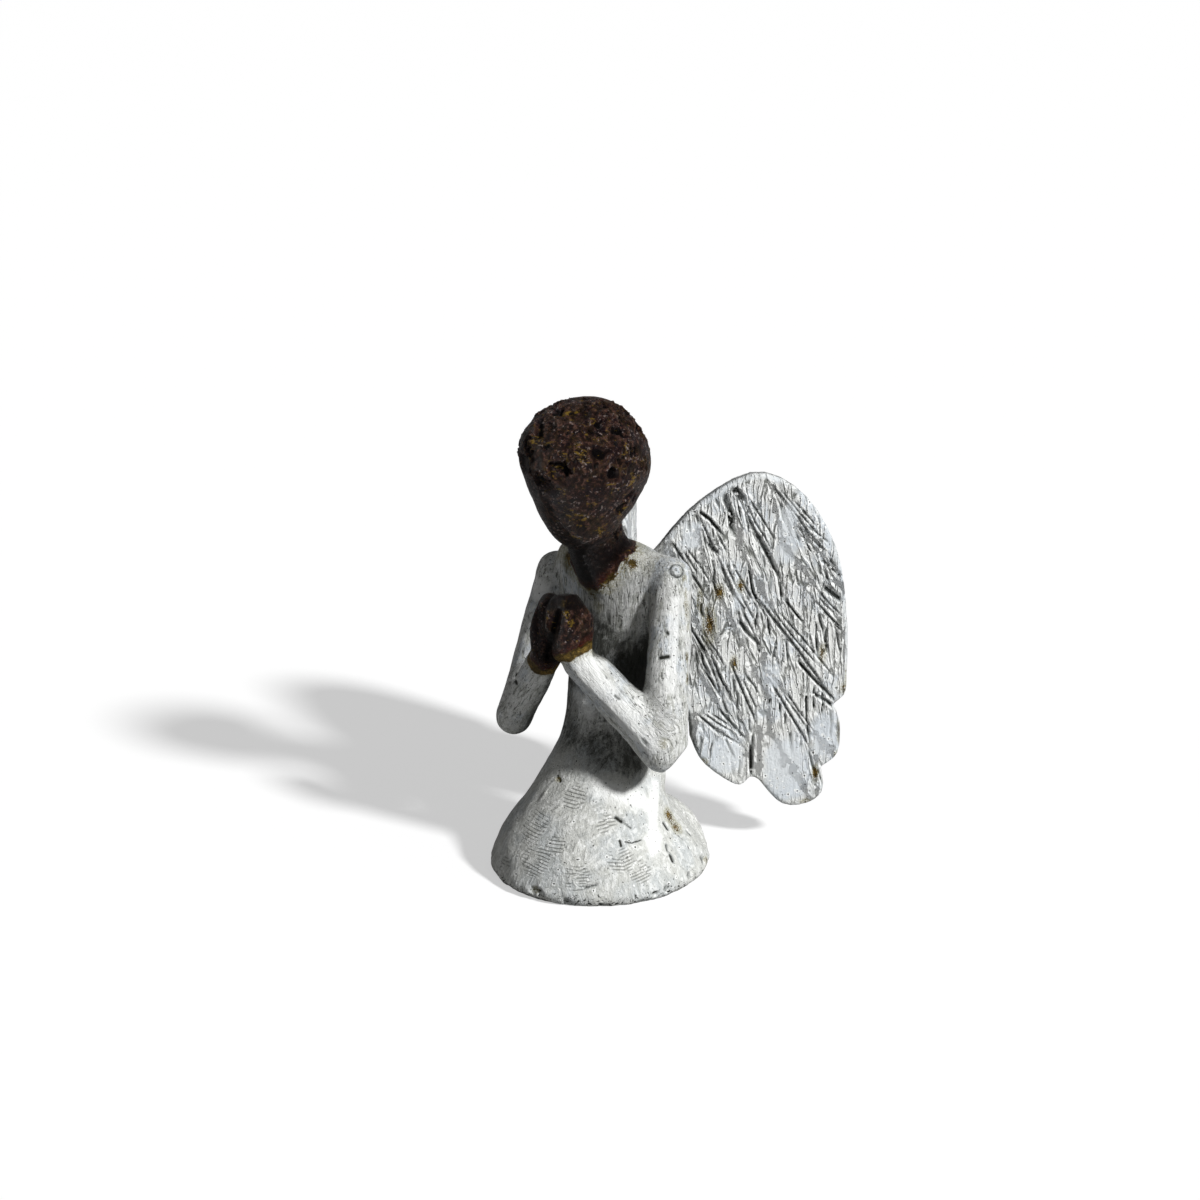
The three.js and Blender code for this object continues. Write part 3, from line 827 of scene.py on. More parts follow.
def workHead(piece, skin, finder):
    share = onHead(skin)
    calm, top, patches = (head[name] for name in ("front", "crown", "patches"))
    crown = ease(skin.points[:, 2] - top["lean"] * skin.points[:, 1], top["low"], top["high"])
    front = ease(skin.points[:, 1], calm["from"], calm["to"])
    front = front * ease(skin.points[:, 2], calm["high"], calm["low"])
    patchy = unevenness(skin.points, patches["size"], patches["seed"])
    patchy = ease(patchy, patches["low"], patches["high"])
    rough = share * (0.25 + 0.75 * patchy) * (1 - calm["calm"] * front)
    height = sum(
        much * handwork(skin.points, size, head["wavesSeed"] + number, 2) * (rough if number else share)
        for number, (size, much) in enumerate(head["waves"])
    )
    for pixel, radius, depth in head["seenPits"]:
        height += dent(skin, finder.atPixel(pixel), radius, depth, rough=0.7)
    socket = head["sockets"]
    for side in (1, -1):
        place = finder.fromAfar(head["middle"], side * socket["turn"], socket["rise"])
        height += dent(skin, place, socket["radius"], socket["depth"], rim=0.05)
    nose = head["nose"]
    bridge = [finder.fromAfar(head["middle"], 0, rise) for rise in (nose["top"], 0, nose["foot"])]
    gap, along = nearPath(skin.points, bridge)
    height += nose["height"] * (0.4 + 0.6 * along) * np.exp(-(gap / nose["radius"]) ** 2)
    brow = head["brow"]
    gap = np.linalg.norm(skin.points - finder.atPixel(brow["pixel"]), axis=1)
    height += brow["height"] * np.exp(-(gap / brow["radius"]) ** 2)
    skin.lift(height)
    scatterPits(piece, skin, share * (0.15 + 0.85 * crown) * patchy * (1 - 0.85 * front))


def pare(skin, out, toward, level, near, blunt=0.15):  # takes off most of what stands out past a flat cut
    toward = np.array(toward) / np.linalg.norm(toward)
    above = np.maximum(out @ toward - level, 0)
    above = above ** 2 / (above + blunt)
    skin.points -= 0.95 * (above * near)[:, None] * toward


# Fists: each is pared with flat cuts, and a slot is left between the two
hands = {
    "fists": [
        {
            "middle": (2.1, -9.3, 41.1),
            "cuts": [  # where a flat cut faces, and how far from the middle it lies
                ((0.87, -0.25, 0.43), 3.1), ((0.11, -0.93, 0.34), 3.5), ((0.47, 0.67, 0.57), 3.25),
                ((0.74, 0.67, 0), 3.1), ((-0.2, 0.23, 0.95), 4.4),
            ],
        },
        {
            "middle": (-2.1, -9.3, 39.3),
            "cuts": [
                ((-0.2, -0.95, 0.2), 3.2), ((-0.9, -0.35, 0.25), 2.2), ((-0.3, -0.4, 0.87), 5.0),
            ],
        },
    ],
    "reach": 7.5,
    "slot": ([(553, 614), (549, 634), (548, 660)], 1.5, 1.1),  # pixels, width and depth
    "fingers": [
        ([(563, 606), (570, 620), (572, 634), (577, 652)], 0.8, -0.25),
        ([(552, 604), (557, 616), (556, 630)], 0.6, 0.25), ([(584, 634), (580, 645), (574, 651)], 0.7, 0.2),
        ([(538, 604), (536, 628), (537, 656)], 0.7, 0.25),
    ],
    "waves": {"size": 1.3, "height": 0.12, "middle": (0, -10, 40), "reach": 9, "seed": 51},
}


def workHands(skin, finder):
    leftward = ease(skin.points[:, 0], -0.4, 0.4)
    for fist, share in zip(hands["fists"], (leftward, 1 - leftward)):
        out = skin.points - fist["middle"]
        near = share * ease(np.linalg.norm(out, axis=1), hands["reach"], hands["reach"] - 1.5)
        near = near * ease(skin.points[:, 2], 35.5, 37.5)
        for toward, level in fist["cuts"]:
            pare(skin, skin.points - fist["middle"], toward, level, near)
    height = np.zeros(len(skin.points))
    for pixels, width, depth in [hands["slot"], *hands["fingers"]]:
        height -= depth * traced(skin, finder, pixels, 0.6 * width)[0]
    waves = hands["waves"]
    near = ease(np.linalg.norm(skin.points - waves["middle"], axis=1), waves["reach"], waves["reach"] - 2)
    height += near * waves["height"] * unevenness(skin.points, waves["size"], waves["seed"])
    skin.lift(height)


robe = {
    "flats": [  # cuts along a line between two radii: its ends, the way they face and how far out they lie
        ((14.6, -2.8, 23.3), (3.3, -8.2, 35.8), (-0.03, -0.92, -0.41), 0.84),
        ((-14.1, -4.6, 21.6), (-3.3, -9.2, 34.6), (0.3, -0.9, 0.3), 0.86),
        ((-14.1, -4.6, 21.6), (-11.1, 2.2, 44), (-0.4, -0.9, 0.1), 0.9),
    ],
    "trims": [  # flat cuts through the skin under a pixel: the way they face and their reach
        ((688, 829), (0.49, 0.68, 0.55), 9), ((677, 757), (0.69, 0.35, -0.63), 6),
    ],
    "lumps": {"size": 7.0, "height": 0.3, "seed": 61},
    "dimples": {"size": 1.6, "height": 0.07, "seed": 71},
    "hem": {"size": 1.3, "height": 0.18, "seed": 81, "low": 1.2, "high": 3.2, "proud": 0.4},
    "hemChips": [(502, 879), (508, 886), (534, 891), (541, 895), (566, 903), (604, 906),
                 (622, 905), (655, 895), (668, 889), (690, 876), (703, 861)],
    "hemChip": {"radius": 0.8, "depth": 0.35, "rim": 0.1},
    "cuts": [  # pixels from one end to the other, width and depth
        ([(616, 818), (621, 821)], 0.55, 0.35), ([(621, 821), (631, 828)], 0.3, 0.2),
        ([(625, 842), (632, 843), (641, 840)], 0.22, 0.1), ([(620, 841), (621, 846)], 0.4, 0.2),
        ([(585, 888), (596, 885)], 0.35, 0.2), ([(667, 845), (668, 850)], 0.5, 0.2),
        ([(671, 855), (673, 861)], 0.7, 0.2), ([(660, 658), (668, 657)], 0.6, 0.2),
        ([(642, 741), (645, 744)], 0.7, 0.25), ([(515, 675), (517, 683)], 0.7, 0.3),
        ([(678, 835), (690, 850)], 0.2, 0.1), ([(686, 830), (697, 846)], 0.2, 0.1),
        ([(664, 823), (668, 829)], 0.5, 0.25), ([(655, 894), (661, 892)], 0.45, 0.2),
        ([(558, 776), (560, 781)], 0.5, 0.2), ([(622, 655), (624, 657)], 0.5, 0.15),
        ([(606, 676), (607, 678)], 0.4, 0.15), ([(615, 696), (619, 699)], 0.4, 0.15),
        ([(667, 632), (668, 634)], 0.4, 0.15), ([(600, 905), (603, 907)], 0.6, 0.2),
    ],
    # dirt and painted shade that the cuts and the fists' slot add to the hollow mark
    "cutDirtAndShade": 0.25,
    "top": 52,  # above this the skin is left as it is
    "drips": [  # ridges of thick paint: pixels, width and height
        ([(541, 799), (546, 793)], 0.7, 0.25), ([(552, 814), (561, 806)], 0.6, 0.25),
        ([(572, 853), (577, 845)], 0.6, 0.25), ([(546, 790), (559, 776)], 0.5, 0.15),
        ([(589, 800), (597, 793)], 0.4, 0.12), ([(610, 798), (618, 791)], 0.4, 0.12),
        ([(600, 872), (608, 868)], 0.5, 0.15),
    ],
    "knob": {"pixel": (677, 570), "radius": 0.95, "height": 0.12, "groove": 0.24, "dirtAndShade": 0.12},
}


def knobGap(skin, finder):  # the distance from the knob's middle, in its radii
    knob = robe["knob"]
    return np.linalg.norm(skin.points - finder.atPixel(knob["pixel"]), axis=1) / knob["radius"]


def workRobe(skin, finder, onWings):
    for start, end, toward, share in robe["flats"]:
        start, end = np.array(start), np.array(end)
        gap, along = nearPath(skin.points, [start, end])
        out = skin.points - start - along[:, None] * (end - start)
        near = ease(gap, 4.8, 4.2) * ease(along, 0.0, 0.25) * ease(along, 1.0, 0.75) * (1 - onWings)
        radius = np.median(gap[(near > 0.9) & (np.abs(along - 0.5) < 0.2)])
        pare(skin, out, toward, share * radius, near, 0.4)
    for pixel, toward, reach in robe["trims"]:
        place = finder.atPixel(pixel)
        near = ease(np.linalg.norm(skin.points - place, axis=1), reach, 0.6 * reach)
        pare(skin, skin.points - place, toward, 0, near * (1 - onWings), 0.4)
    lumps, dimples, hem, chip, knob = (robe[name] for name in ("lumps", "dimples", "hem", "hemChip", "knob"))
    free = (1 - onWings) * ease(skin.points[:, 2], blank["foot"], 1.5) * (skin.points[:, 2] < robe["top"])
    height = free * lumps["height"] * handwork(skin.points, lumps["size"], lumps["seed"], 3)
    height += free * dimples["height"] * handwork(skin.points, dimples["size"], dimples["seed"], 2)
    rim = ease(skin.points[:, 2], hem["high"], hem["low"]) * (skin.points[:, 2] > blank["foot"])
    ragged = np.minimum(unevenness(skin.points, hem["size"], hem["seed"]), hem["proud"])
    height += rim * hem["height"] * ragged
    for pixel in robe["hemChips"]:
        height += dent(skin, finder.atPixel(pixel), **chip) * (skin.points[:, 2] > blank["foot"])
    for pixels, width, depth in robe["cuts"]:
        height -= depth * traced(skin, finder, pixels, 0.6 * width)[0]
    for pixels, width, rise in robe["drips"]:
        near, along = traced(skin, finder, pixels, 0.5 * width)
        height += rise * near * (0.5 + 0.5 * along)
    gap = knobGap(skin, finder)
    height += knob["height"] * ease(gap, 1.2, 0.7) - knob["groove"] * np.exp(-((gap - 1.1) / 0.22) ** 2)
    skin.lift(height)


# What the paints need to know about each point

skinParts = {
    "neckline": 44.7,
    "scoop": {"left": 0.2, "right": 0.1, "half": 7},
    "nape": {"rise": 4.2, "from": 0.5, "to": 4.5},
    "neck": {"half": 10, "back": 7.2, "low": 44, "high": 54},  # the space between the wings
    "fists": {"half": 7.5, "back": -4.4, "low": 31, "high": 48, "past": -0.6},
    "cuffs": [  # a place on the border, and the way to the brown skin
        ((4.6, -9.8, 38.5), (-0.3, -0.2, 0.93)), ((-2.0, -10.6, 33.9), (0.62, -0.27, 0.737)),
    ],
}
farInside = 9  # millimetres, where the border is too far off to matter


def bareSkin(points):  # millimetres inside the border of the brown skin, negative on the robe
    x, y, z = points.T
    scoop, nape, neck, fists = (skinParts[name] for name in ("scoop", "nape", "neck", "fists"))
    bow = np.minimum(np.abs(x), scoop["half"])
    scoop = np.where(x > 0, scoop["left"], scoop["right"])
    line = skinParts["neckline"] + scoop * bow ** 2 + nape["rise"] * ease(y, nape["from"], nape["to"])
    middle = (np.abs(x) < neck["half"]) & (y < neck["back"])
    sloped = (z - line) / np.sqrt(1 + (2 * scoop * bow) ** 2)
    inside = np.where(middle & (z > neck["low"]), sloped, -farInside)
    inside = np.where(middle & (z > neck["high"]), farInside, inside)
    for side, (place, along) in zip((1, -1), skinParts["cuffs"]):
        past = (points - place) @ (np.array(along) / np.linalg.norm(along))
        near = (np.abs(x) < fists["half"]) & (y < fists["back"]) & (x * side > fists["past"])
        near &= (z > fists["low"]) & (z < fists["high"])
        inside = np.maximum(inside, np.where(near, past, -farInside))
    return inside


bareSpots = {
    "body": [  # pixel of the photograph, radius in millimetres, and how bare
        ((632, 564), 0.9, 1.2), ((685, 578), 0.4, 0.8), ((686, 592), 0.45, 0.9), ((687, 604), 0.5, 0.9),
        ((687, 614), 0.45, 0.9), ((688, 626), 0.4, 0.7), ((687, 658), 0.4, 1.0), ((688, 680), 0.5, 1.0),
        ((663, 744), 0.8, 0.5), ((562, 604), 0.7, 1.0), ((567, 613), 0.6, 1.0), ((571, 624), 0.5, 0.9),
        ((603, 586), 0.6, 1.0), ((592, 594), 0.7, 0.8), ((598, 606), 1.4, 0.35), ((669, 816), 1.3, 0.9),
        ((676, 827), 1.2, 0.8), ((503, 879), 0.4, 0.9), ((535, 890), 0.6, 0.8), ((622, 905), 0.6, 0.7),
        ((706, 860), 0.6, 0.9), ((558, 779), 0.5, 0.7),
    ],
    "head": [  # pixel and radius: where ochre flecks gather
        ((552, 473), 1.1), ((536, 438), 1.5), ((581, 451), 1.5), ((569, 415), 1.5), ((633, 478), 1.3),
        ((624, 512), 1.2), ((583, 519), 1.2), ((571, 514), 1.0), ((576, 536), 1.0), ((600, 530), 1.2),
        ((626, 451), 0.9), ((609, 486), 0.8), ((592, 404), 1.2), ((545, 404), 1.0),
    ],
    "fleck": 0.3,
    "wing": [  # out and up on the wing's front, size, and how bare
        ((12.1, 42.2), (0.9, 1.2), 0.9), ((15.5, 43.0), (0.6, 1.0), 0.9), ((10.7, 37.2), (1.1, 3.2), 0.75),
        ((9.2, 41.0), (0.6, 2.4), 0.5), ((14.6, 30.8), (0.6, 1.2), 0.8), ((28.4, 31.5), (0.6, 1.6), 0.7),
        ((27.8, 11.9), (0.5, 1.2), 1.1), ((31.2, 14.4), (0.5, 1.0), 0.8), ((10.0, 15.0), (0.8, 0.5), 0.7),
        ((32.0, 25.6), (0.5, 1.0), 0.8), ((31.4, 18.5), (0.4, 2.0), 0.6), ((26.3, 7.3), (0.9, 0.4), 0.7),
    ],
}
combedPatches = [  # rows of short ridges left by a comb: pixel and radius
    ((574, 799), 1.9), ((534, 826), 2.4), ((505, 866), 1.4), ((535, 860), 2.4), ((577, 879), 2.0),
    ((620, 860), 2.0), ((606, 825), 1.6), ((640, 872), 1.8), ((556, 845), 1.6),
]
shadowAndGrimeSpots = [  # painted shadow added to the shelter mark, mostly where the arm shades the waist, in the arm and chest channel and where the head shades the shoulder, with some grime on the shoulder front: pixel, radius, and how dark
    ((570, 735), 4.0, 0.35), ((600, 750), 4.5, 0.42), ((635, 768), 2.8, 0.35), ((660, 574), 3.0, 0.32),
    ((640, 668), 2.6, 0.3), ((568, 562), 2.2, 0.5), ((610, 640), 4.0, 0.1), ((530, 690), 3.0, 0.1),
]
chalkAndHighlightBands = [  # where the white lies thick, painted brighter as a highlight on the robe: pixels and half width
    ([(656, 786), (654, 848)], 1.4), ([(585, 664), (622, 712), (648, 745)], 1.9),
    ([(676, 600), (671, 690)], 0.8), ([(545, 600), (538, 590)], 2.0), ([(600, 790), (640, 800)], 1.6),
    ([(577, 695), (590, 712)], 1.3),
]


def markSpots(skin, finder, spots):  # the strongest of some round spots by pixel
    found = np.zeros(len(skin.points))
    for pixel, radius, much in spots:
        found = np.maximum(found, much * spreadOver(skin.points, finder.atPixel(pixel), radius))
    return found


def markBare(skin, finder, onWings):
    flecks = [(pixel, radius, bareSpots["fleck"]) for pixel, radius in bareSpots["head"]]
    bare = markSpots(skin, finder, bareSpots["body"] + flecks) * (1 - onWings)
    for side in (1, -1):
        out, through, up = onWing(skin.points, side)
        front = wingShare(skin.points, side) * (through > -0.3)
        for place, size, much in bareSpots["wing"]:
            near = np.exp(-((out - place[0]) / size[0]) ** 2 - ((up - place[1]) / size[1]) ** 2)
            bare = np.maximum(bare, much * near * front)
    return bare


def markHollow(skin, finder):  # how deep each place lies, with dirt and painted shade added in the cuts, the slot between the fists and the knob's groove
    # On the head a broader measure as well, so that the pits are painted darker as painted shade
    hollow = np.maximum(skin.hollows(14), 0.6 * skin.hollows(50) * onHead(skin))
    for pixels, width, depth in [*robe["cuts"], hands["slot"]]:
        hollow += robe["cutDirtAndShade"] * traced(skin, finder, pixels, 0.5 * width)[0]
    return hollow + robe["knob"]["dirtAndShade"] * np.exp(-((knobGap(skin, finder) - 1.1) / 0.25) ** 2)


def markChalkAndHighlight(skin, finder, onWings):
    chalkAndHighlight = np.zeros(len(skin.points))
    for pixels, half in chalkAndHighlightBands:
        chalkAndHighlight = np.maximum(chalkAndHighlight, traced(skin, finder, pixels, half)[0] * (1 - onWings))
    return chalkAndHighlight


goldenAngle = 2.39996


def markShelter(skin, rays=28, every=24, reach=26.0, clear=0.3, steps=24):
    # How little open sky each place sees, which the paints darken by as painted shade
    normals = skin.normals()
    tree = rayTree(skin)
    sample = np.arange(0, len(skin.points), every)
    turns = (np.arange(rays) * goldenAngle) % (2 * math.pi)
    rises = np.arcsin(np.sqrt((np.arange(rays) + 0.5) / rays))
    seen = KDTree(len(sample))
    found = np.zeros(len(sample))
    for i, index in enumerate(sample):
        point, normal = Vector(skin.points[index]), Vector(normals[index])
        seen.insert(point, i)
        side = normal.orthogonal().normalized()
        other = normal.cross(side)
        start = point + normal * clear
        blocked = 0
        for turn, rise in zip(turns, rises):
            ray = normal * math.sin(rise) + (side * math.cos(turn) + other * math.sin(turn)) * math.cos(rise)
            if tree.ray_cast(start, ray, reach)[0] is not None:
                blocked += 1
        found[i] = blocked / rays
    seen.balance()
    shelter = np.array([found[seen.find(p)[1]] for p in skin.points])
    for step in range(steps):
        shelter = skin.averaged(shelter)
    return shelter


limbs = [  # where brushed streaks follow an arm and not the upright: its ends and radius
    ((14.6, -2.8, 23.3), (3.6, -8.2, 36.6), 4.4), ((-13.9, -4.6, 22.0), (-3.3, -9.2, 34.6), 4.2),
]


def brushedPlaces(points):  # the same places, turned so that the third axis follows the brush or the barbs
    brushed = points.copy()
    for foot, top, radius in limbs:
        turn = np.array((Vector(top) - Vector(foot)).rotation_difference(Vector((0, 0, 1))).to_matrix())
        gap, along = nearPath(points, [foot, top])
        share = ease(gap, radius + 1, radius) * ease(along, 0, 0.12)
        turned = (points - foot) @ turn.T + foot
        brushed = brushed * (1 - share[:, None]) + turned * share[:, None]
    for side in (1, -1):
        out, through, up = onWing(points, side)
        onPlate = wingShare(points, side) > 0.5
        chosen = onPlate & (through > 0)
        across, along, lane = lanesAt(out[chosen], up[chosen])
        across = across + frontCarving["laneShift"] * lane
        brushed[chosen] = np.stack([across, through[chosen], along], 1)
        chosen = onPlate & (through <= 0)
        hub = backCarving["hub"]
        rise, run = up[chosen] - hub[1], out[chosen] - hub[0]
        fan = [backCarving["reach"] * np.arctan2(rise, run), through[chosen], np.hypot(rise, run) + 1]
        brushed[chosen] = np.stack(fan, 1)
    return brushed


def addMark(mesh, name, values):
    kind = "FLOAT_VECTOR" if values.ndim == 2 else "FLOAT"
    mark = mesh.attributes.new(name, kind, "POINT")
    mark.data.foreach_set("vector" if values.ndim == 2 else "value", values.astype(np.float32).ravel())


finish = {"triangles": 194000}


def castAngel(paint):
    piece = blankCasting(paint)
    skin = Skin(piece.data)
    stage(f"blank casting, {len(skin.points)} points")
    onWings = wingShare(skin.points, 1) + wingShare(skin.points, -1)
    soften(skin, onWings)
    stage("inner corners filled and facets eased")
    finder = Finder(skin)
    workHead(piece, skin, finder)
    workHands(skin, finder)
    workRobe(skin, finder, onWings)
    stage("head, hands and robe worked")
    hollow = markHollow(skin, finder)
    chalkAndHighlight = markChalkAndHighlight(skin, finder, onWings)
    for side in (1, -1):
        carveWing(skin, finder, side, hollow, chalkAndHighlight)
    stage("wings carved")
    shelter = markShelter(skin)
    # Painted shadow and some grime, added to the shelter mark that the paints darken by
    for pixel, radius, much in shadowAndGrimeSpots:
        shelter += much * spreadOver(skin.points, finder.atPixel(pixel), radius)
    stage("sheltered places found")
    marks = {
        "hollow": hollow,
        "shelter": shelter,
        "skin": bareSkin(skin.points),
        "bare": markBare(skin, finder, onWings),
        "wing": onWings,
        "brushed": brushedPlaces(skin.points),
        "combed": markSpots(skin, finder, [(*patch, 1.0) for patch in combedPatches]),
        "chalkAndHighlight": chalkAndHighlight,
    }
    skin.points[:, 2] = np.maximum(skin.points[:, 2], 0)
    writePoints(piece.data, skin.points)
    for name, values in marks.items():
        addMark(piece.data, name, values)
    piece.data.transform(Matrix.Scale(mm, 4))
    thin = piece.modifiers.new("fewerFaces", "DECIMATE")
    thin.ratio = finish["triangles"] / (2 * len(skin.quads))
    thin.use_collapse_triangulate = True
    bakeModifiers(piece)
    piece.data.shade_smooth()
    stage(f"thinned to {len(piece.data.polygons)} faces, marks {[a.name for a in piece.data.attributes]}")
    return piece


# Shader building

def toned(red, green, blue):  # a screen colour from 0 to 255 as a shader's colour
    linear = [((c / 255 + 0.055) / 1.055) ** 2.4 if c > 10 else c / 255 / 12.92 for c in (red, green, blue)]
    return (*linear, 1)


def newGroup(name, inputs, outputs):
    group = bpy.data.node_groups.new(name, "ShaderNodeTree")
    for way, titles in (("INPUT", inputs), ("OUTPUT", outputs)):
        for title in titles:
            kind = "NodeSocketVector" if title in ("Place", "Brushed") else "NodeSocketFloat"
            group.interface.new_socket(name=title, in_out=way, socket_type=kind)
    tree = Tree(group)
    return group, tree, tree.add("NodeGroupInput").outputs, tree.add("NodeGroupOutput").inputs


def pinholeGroup():
    # Small dark holes in some of the cells, each with a pale ring of paint pushed up round it
    group, tree, given, result = newGroup(
        "pinholes", ("Place", "Per Millimetre", "Size", "Share"), ("Hole", "Ring"))
    wanted = {"Vector": given["Place"], "Scale": given["Per Millimetre"]}
    cells = tree.add("ShaderNodeTexVoronoi", wanted, feature="F1")
    lots = tree.lots(cells)
    kept = tree.math("LESS_THAN", lots["Red"], given["Share"])
    size = tree.times(given["Size"], tree.plus(0.6, lots["Green"]))
    gap = tree.math("DIVIDE", cells.outputs["Distance"], size)
    ring = tree.times(tree.ramp(gap, 0.7, 0.95), tree.ramp(gap, 1.3, 1.7, 1.0, 0.0))
    tree.feed(result["Hole"], tree.times(kept, tree.ramp(gap, 0.4, 0.7, 1.0, 0.0)))
    tree.feed(result["Ring"], tree.times(kept, ring))
    return group


def streakGroup():
    # Fine brushed streaks that run along the third axis of the brushed places
    group, tree, given, result = newGroup("brushStreaks", ("Brushed", "Per Millimetre"), ("Streak", "Fibre"))
    along = tree.vector("MULTIPLY", given["Brushed"], (1.0, 1.0, 0.2))
    tree.feed(result["Streak"], tree.noise(along, given["Per Millimetre"], 5.0, 0.62, 0.5))
    fine = tree.vector("MULTIPLY", given["Brushed"], (1.0, 1.0, 0.16))
    tree.feed(result["Fibre"], tree.noise(fine, tree.times(given["Per Millimetre"], 3.0), 4.0, 0.65, 0.9))
    return group


def stripGroup():
    # Long narrow strips along the barbs: thin lines between them, and a raised ridge inside each line
    group, tree, given, result = newGroup(
        "featherStrips", ("Brushed", "Across", "Along"), ("Line", "Ridge", "Tone"))
    slow = tree.vector("MULTIPLY", given["Brushed"], (0.6, 1.0, 0.22))
    sway = tree.vector("SUBTRACT", tree.colourNoise(slow, 0.9), (0.5, 0.5, 0.5))
    places = tree.vector("ADD", given["Brushed"], tree.vector("MULTIPLY", sway, (1.4, 0.0, 4.0)))
    across, through, along = tree.separated(places)
    flat = {0: tree.times(across, given["Across"]), 1: tree.times(along, given["Along"])}
    flat = {"Vector": tree.add("ShaderNodeCombineXYZ", flat).outputs[0], "Scale": 1.0}
    edges, cells = (
        tree.add("ShaderNodeTexVoronoi", flat, feature=feature, voronoi_dimensions="2D")
        for feature in ("DISTANCE_TO_EDGE", "F1")
    )
    gap = edges.outputs["Distance"]
    broken = tree.ramp(tree.noise(given["Brushed"], 1.5, 3.0, 0.6), 0.36, 0.5)
    tree.feed(result["Line"], tree.times(broken, tree.ramp(gap, 0.03, 0.1, 1.0, 0.0)))
    ridge = tree.times(tree.ramp(gap, 0.07, 0.14), tree.ramp(gap, 0.2, 0.3, 1.0, 0.0))
    patchy = tree.ramp(tree.noise(given["Brushed"], 2.3, 3.0), 0.35, 0.5)
    tree.feed(result["Ridge"], tree.times(ridge, patchy))
    tree.feed(result["Tone"], tree.lots(cells)["Red"])
    return group


def marksOf(tree):  # the places and marks that both paints read
    names = ("hollow", "shelter", "skin", "bare", "wing", "combed", "chalkAndHighlight")
    marks = {name: tree.mark(name) for name in names}
    place = {0: tree.add("ShaderNodeTexCoord").outputs["Object"], "Scale": 1 / mm}
    place = tree.add("ShaderNodeVectorMath", place, operation="SCALE").outputs["Vector"]
    marks["place"] = place
    marks["brushed"] = tree.mark("brushed", "Vector")
    marks["clouds"] = tree.noise(place, 0.45, 4.0, 0.6)
    marks["grain"] = tree.noise(place, 5.5, 3.0, 0.7)
    return marks


class Coats:
    # A colour built up in coats, each laid over the ones before it where its share says
    def __init__(self, tree, tones, first):
        self.tree = tree
        self.tones = tones
        self.colour = first

    def lay(self, share, tone):
        self.colour = self.tree.mix(share, self.colour, self.tones[tone])


whites = {
    "fresh": toned(220, 221, 218),
    "blue": toned(204, 210, 215),
    "worn": toned(180, 181, 174),
    "lit": toned(243, 244, 242),
    "line": toned(84, 86, 80),
    "wash": toned(146, 149, 147),
    # dark dirt in specks, pinholes and along the quills, also laid as painted shade in the deep hollows and
    # cuts
    "dirtAndShade": toned(36, 37, 31),
    "shade": toned(46, 48, 40),
    "olive": toned(140, 132, 84),
}


